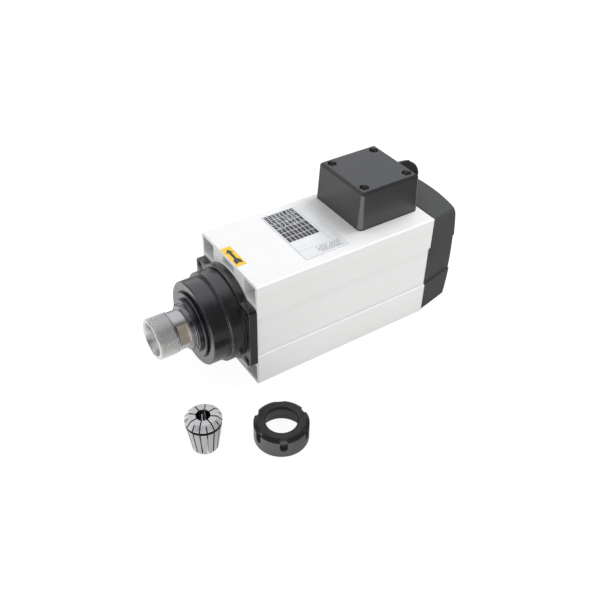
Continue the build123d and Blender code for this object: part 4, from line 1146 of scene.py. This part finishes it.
grow(
    shaft, build_thread(), "turned_steel", Pitch=thread_pitch, Depth=thread_depth,
    Outer_Radius=nose_radius, Front=nose_front, Rear=thread_rear - hair, Axis_Height=axis_height,
    Least_Radius=nose_radius - nose_chamfer - hair,
)
smooth(shaft.data)
print("thread turns:", round((thread_rear - nose_front) / thread_pitch, 1))

# %% [markdown]
# ## Surfaces of the shaft
#
# Each tool leaves its own surface on the shaft: a duller thread, a ground socket, and flats milled
# across the neck, which carry a painted warm reflection. The collar behind the neck is painted darker
# as shade, with wide streaks as painted reflections. The faces are picked by where they lie, and each
# group takes its own finish.

# %% Finish the shaft
spanner_direction = Vector((math.cos(spanner_angle), 0, math.sin(spanner_angle)))
spindle_middle = Vector((0, 0, axis_height))


def off_axis(place):
    """Distance of a point from the spindle's axis."""
    return math.hypot(place.x, place.z - axis_height)


def in_thread(place, normal):
    """Whether a face of the shaft lies in the cut thread."""
    return place.y < thread_rear - hair and off_axis(place) > nose_radius - thread_depth - hair


def in_socket(place, normal):
    """Whether a face of the shaft lies in the tapered socket."""
    return place.y < nose_front + socket_depth and off_axis(place) < socket_mouth


def on_flat(place, normal):
    """Whether a face of the shaft lies on a spanner flat."""
    level = abs((place - spindle_middle).dot(spanner_direction))
    return flat_front - hair < place.y < flat_rear + hair and abs(level - spanner_distance) < hair


def on_collar(place, normal):
    """Whether a face of the shaft lies on the collar behind the neck."""
    return neck_rear - hair < place.y < collar_rear and off_axis(place) > neck_radius


second_finish(shaft, "cut_thread", in_thread)
second_finish(shaft, "ground_socket", in_socket)
# The flats take their painted warm reflection.
second_finish(shaft, "milled_steel_warm_reflection", on_flat)
# The collar takes its painted shade.
second_finish(shaft, "painted_collar_shade", on_collar)
stand_for(shaft, "spindle", "turned_steel", "spindle_shaft")

# %% [markdown]
# ## Socket screws
#
# Sixteen socket screws hold the spindle together, in four sizes. One screw is turned from its own
# outline, with the inner rings pulled on to a hexagon. Geometry Nodes then put a copy on each of a
# few points, tilted to face the way that its hole does, and turned by chance about its own axis, as
# screws are when they have been tightened. The seed is fixed, so they stay as they are.

# %% Turn one screw
screw_steps = 48
screw_angles = [2 * math.pi * n / screw_steps for n in range(screw_steps)]
sixth = math.pi / 3
key_share, key_depth, key_lead, key_cone = 0.86, 0.55, 0.1, 0.3
mouth_share, rim_share, rim_ease, tip_share = 1.17, 0.12, 0.3, 0.8


def screw_ring(radius, z, hexagonal=False):
    """Ring of points about Z, round or pulled on to a hexagon."""
    ring = []
    for angle in screw_angles:
        reach = radius / math.cos((angle + sixth / 2) % sixth - sixth / 2) if hexagonal else radius
        ring.append((reach * math.cos(angle), reach * math.sin(angle), z))
    return ring


def turn_screw(name, shank, head, height, length, finish):
    """Socket screw that stands on Z = 0 with its head above."""
    flat = key_share * shank
    floor_height = height - key_depth * height
    rim = rim_share * head
    eased_rim = rim_ease * rim
    screw_rings = [
        screw_ring(flat, floor_height, True), screw_ring(flat, height - key_lead * flat, True),
        screw_ring(mouth_share * flat, height), screw_ring(head - rim, height),
        screw_ring(head - eased_rim, height - eased_rim), screw_ring(head, height - rim),
        screw_ring(head, 0.0), screw_ring(shank, 0.0), screw_ring(shank, shank - length),
        screw_ring(tip_share * shank, -length),
    ]
    mesh = closed_mesh(name, (screw_rings, ((0, 0, floor_height - key_cone * flat), (0, 0, -length))))
    smooth(mesh)
    mesh.materials.append(finishes[finish])
    return bpy.data.objects.new(name, mesh)


print("screw outline ready, steps round:", screw_steps)

# %% Put the screws on their points


def build_copies():
    """Copies of one piece on points, tilted together and each turned by chance."""
    inputs = {"Piece": "Object", "Tilt": "Vector", "Seed": "Int"}
    tree, given, out = start_tree("placed_copies", inputs)
    source = add(tree, "GeometryNodeObjectInfo", {"Object": given["Piece"]})
    tilt = add(tree, "FunctionNodeEulerToRotation", {0: given["Tilt"]})
    limits = {2: 0.0, 3: sixth, "Seed": given["Seed"]}
    chance = add(tree, "FunctionNodeRandomValue", limits, data_type="FLOAT")
    spin = add(tree, "FunctionNodeEulerToRotation", {0: combine(tree, Z=chance.outputs[1])})
    both = {0: tilt.outputs[0], 1: spin.outputs[0]}
    turn = add(tree, "FunctionNodeRotateRotation", both, rotation_space="LOCAL")
    copies = add(tree, "GeometryNodeInstanceOnPoints", {
        "Points": given["Geometry"], "Instance": source.outputs["Geometry"], "Rotation": turn.outputs[0],
    })
    return end_tree(tree, given, out, copies.outputs[0])


copies_tree = build_copies()
facing = {"-Y": (math.pi / 2, 0, 0), "+Y": (-math.pi / 2, 0, 0), "+Z": (0, 0, 0)}


def place_screws(node, sizes, direction, places, seed, finish="black_screws"):
    """Screws on their seats, in place of a node."""
    screw = turn_screw(node + "_one", *(size * mm for size in sizes), finish)
    points = bpy.data.meshes.new(node + "_finished")
    points.from_pydata(places, [], [])
    piece = plain_object(node + "_finished", points, finish)
    grow(piece, copies_tree, finish, Piece=screw, Tilt=facing[direction], Seed=seed)
    bpy.data.objects.remove(screw)
    smooth(piece.data)
    print(node, "screws:", len(places), "faces:", len(piece.data.polygons))
    stand_for(piece, "housing", finish, node)


def insets(low, high, inset):
    """Two places that lie an inset inside two limits."""
    return (low + inset, high - inset)


lid_sizes = (2.0, 3.5, 3.0, 35.0)
for node, sizes, direction, end, seed in (
    ("front_housing_bolts", (2.5, 4.25, 5.0, 14.8), "-Y", 0, 3),
    ("rear_plate_bolts", (2.5, 4.25, 5.0, 20.0), "+Y", 1, 5),
    ("fan_cover_screws", (1.75, 3.0, 2.5, 30.0), "+Y", 1, 8),
):
    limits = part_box(node)
    low, high = limits
    head_radius, head_height = sizes[1] * mm, sizes[2] * mm
    seat = limits[end].y + (head_height if end == 0 else -head_height)
    places = [
        (x, seat, z) for x in insets(low.x, high.x, head_radius) for z in insets(low.z, high.z, head_radius)
    ]
    place_screws(node, sizes, direction, places, seed)
low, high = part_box("junction_box_screws")
head_radius, seat = lid_sizes[1] * mm, high.z - lid_sizes[2] * mm
places = [
    (x, y, seat) for x in insets(low.x, high.x, head_radius) for y in insets(low.y, high.y, head_radius)
]
place_screws("junction_box_screws", lid_sizes, "+Z", places, 11)

# %% [markdown]
# ## What is printed on the plate and the label
#
# The plate carries a dark table with fine lines between its cells, and the label an arrow. Neither
# gets any words: the cells hold short plain strokes where print would be. Marks in rows and columns
# are what Geometry Nodes do well, so one tree lays a grid of points, leaves some out, and puts a thin
# block of a chance length on each. It is used three times, with other numbers. The rules and the
# arrow are flat outlines that are drawn once and given a hair of thickness.

# %% Marks in rows and columns


def build_marks():
    """Thin blocks on a grid of points, some left out and some shortened by chance."""
    tree, given, out = start_tree("printed_marks", {
        "Along": "Int", "Across": "Int", "Pitch Along": "Float", "Pitch Across": "Float", "Mark": "Vector",
        "Middle": "Vector", "Kept": "Float", "Shortened": "Float", "Seed": "Int",
    })
    sizes = {}
    for axis, count, pitch in (("X", "Along", "Pitch Along"), ("Y", "Across", "Pitch Across")):
        spaces = math_node(tree, "SUBTRACT", given[count], 1.0)
        sizes["Vertices " + axis] = given[count]
        sizes["Size " + axis] = math_node(tree, "MULTIPLY", spaces, given[pitch])
    grid = add(tree, "GeometryNodeMeshGrid", sizes).outputs["Mesh"]
    placed = add(tree, "GeometryNodeTransform", {"Geometry": grid, "Translation": given["Middle"]})
    block = add(tree, "GeometryNodeMeshCube", {"Size": given["Mark"]})
    odds = {"Probability": given["Kept"], "Seed": given["Seed"]}
    kept = add(tree, "FunctionNodeRandomValue", odds, data_type="BOOLEAN")
    least = math_node(tree, "SUBTRACT", 1.0, given["Shortened"])
    limits = {2: least, 3: 1.0, "Seed": math_node(tree, "ADD", given["Seed"], 1.0)}
    chance = add(tree, "FunctionNodeRandomValue", limits, data_type="FLOAT")
    copies = add(tree, "GeometryNodeInstanceOnPoints", {
        "Points": placed.outputs[0], "Selection": kept.outputs[3], "Instance": block.outputs["Mesh"],
        "Scale": combine(tree, X=chance.outputs[1], Y=1.0, Z=1.0),
    })
    return end_tree(tree, given, out, copies.outputs[0])


marks_tree = build_marks()
print("marks tree ready, inputs:", [item.name for item in marks_tree.interface.items_tree][2:])

# %% Print the plate
plate_low, plate_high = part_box("nameplate")
plate_size = plate_high - plate_low
ink_height = 0.03 * mm
table_low, table_high = (0.020, 0.025), (0.627, 0.730)


def on_plate(along, across, lift=0.0):
    """Point on the plate from its shares of the plate's width and depth."""
    x, y = plate_low.x + along * plate_size.x, plate_low.y + across * plate_size.y
    return Vector((x, y, plate_high.z + lift))


def print_marks(name, finish, counts, low, high, gap, lift=0.0, thin=1.0, **chances):
    """Rows of marks between two corners of the plate."""
    first, last = on_plate(*low, lift), on_plate(*high, lift)
    pitch = [(last[n] - first[n]) / counts[n] for n in (0, 1)]
    piece = plain_object(name, bpy.data.meshes.new(name), finish)
    grow(
        piece, marks_tree, finish, Along=counts[0], Across=counts[1], Pitch_Along=pitch[0],
        Pitch_Across=pitch[1], Mark=(pitch[0] - gap, (pitch[1] - gap) * thin, ink_height),
        Middle=(first + last) / 2, **chances,
    )
    print(name, "faces:", len(piece.data.polygons))
    stand_for(piece, "housing", "plate_metal")


print_marks(
    "nameplate_table", "printed_ink", (6, 8), table_low, table_high, 0.55 * mm,
    Kept=1.0, Shortened=0.0, Seed=1,
)
print_marks(
    "nameplate_table_strokes", "pale_print", (9, 16), (0.03, 0.04), (0.36, 0.72), 0.9 * mm,
    lift=ink_height, thin=0.9, Kept=0.72, Shortened=0.6, Seed=4,
)
print_marks(
    "nameplate_small_strokes", "grey_print", (4, 14), (0.85, 0.36), (0.97, 0.90), 0.7 * mm,
    thin=0.9, Kept=0.85, Shortened=0.3, Seed=9,
)

# %% Draw the rules on the plate
rule_width = 0.22 * mm
rule_along, rule_across = 0.83, 0.77
plate_edge, rule_gap = 0.02, 0.01


def flat_print(name, finish, slot, base, *outlines):
    """Thin plates with the outlines given, lying on a surface at a height."""
    levels = (base, base + ink_height)
    skins = [([[(x, y, z) for x, y in outline] for z in levels],) for outline in outlines]
    piece = plain_object(name, closed_mesh(name, *skins), finish)
    print(name, "outlines:", len(outlines), "faces:", len(piece.data.polygons))
    stand_for(piece, "housing", slot)


def rectangle(low, high):
    """Outline between two corners."""
    return [(low.x, low.y), (high.x, low.y), (high.x, high.y), (low.x, high.y)]


upright_end = on_plate(rule_along, 1 - plate_edge) + Vector((rule_width, 0, 0))
level_end = on_plate(rule_along - rule_gap, rule_across) + Vector((0, rule_width, 0))
flat_print(
    "nameplate_rules", "grey_print", "plate_metal", plate_high.z,
    rectangle(on_plate(rule_along, plate_edge), upright_end),
    rectangle(on_plate(plate_edge, rule_across), level_end),
)

# %% Draw the arrow on the label
label_low, label_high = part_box("rotation_label")
arrow_middle = (label_low + label_high) / 2
arrow_length = 24.5
arrow_side = [(0.0, 0.0), (6.6, 3.9), (5.7, 1.55), (16.0, 1.35), (18.6, 3.5), (24.5, 3.5), (22.6, 0.0)]
arrow_outline = arrow_side + [(u, -v) for u, v in reversed(arrow_side[1:-1])]
flat_print(
    "rotation_arrow", "printed_ink", "label_yellow", label_high.z,
    [(arrow_middle.x + (u - arrow_length / 2) * mm, arrow_middle.y + v * mm) for u, v in arrow_outline],
)

# %% [markdown]
# ## Pieces that stay as they are
#
# The pieces inside the motor, and the small ones whose working shape is already right, keep their
# CAD mesh and only take a finish.

# %% Give the other nodes their finish
inner_finishes = {
    "bearing_steel": (
        "front_bearing_outer_rings", "front_bearing_inner_rings", "front_bearing_outer_spacer",
        "front_bearing_inner_spacer", "rear_bearing_outer_ring", "rear_bearing_inner_ring",
        "front_ball_belts", "rear_ball_belt", "bearing_lock_nut",
    ),
    "plain_aluminium": ("bearing_retainer", "rear_bearing_plate", "rotor_end_rings"),
    "zinc_screws": ("bearing_retainer_screws", "junction_box_base_screws"),
    "spring_steel": ("preload_washer", "fan_retaining_ring", "fan_key"),
    "laminations": ("stator_core", "rotor_core"),
    "copper_winding": ("stator_windings",),
    "fan_plastic": ("fan_impeller",),
    "black_moulding": ("junction_box_base",),
    "terminal_plastic": ("terminal_block",),
    "terminal_brass": ("terminal_studs",),
    "gland_plastic": ("gland_locknut",),
}
for finish, names in inner_finishes.items():
    for name in names:
        mesh = nodes[name].data
        mesh.materials.clear()
        mesh.materials.append(finishes[finish])
print("pieces that keep their CAD mesh:", sum(len(names) for names in inner_finishes.values()))

# %% [markdown]
# ## Hand over
#
# The colours are shown as they are written.

# %% Finish
scene.view_settings.view_transform = "Standard"
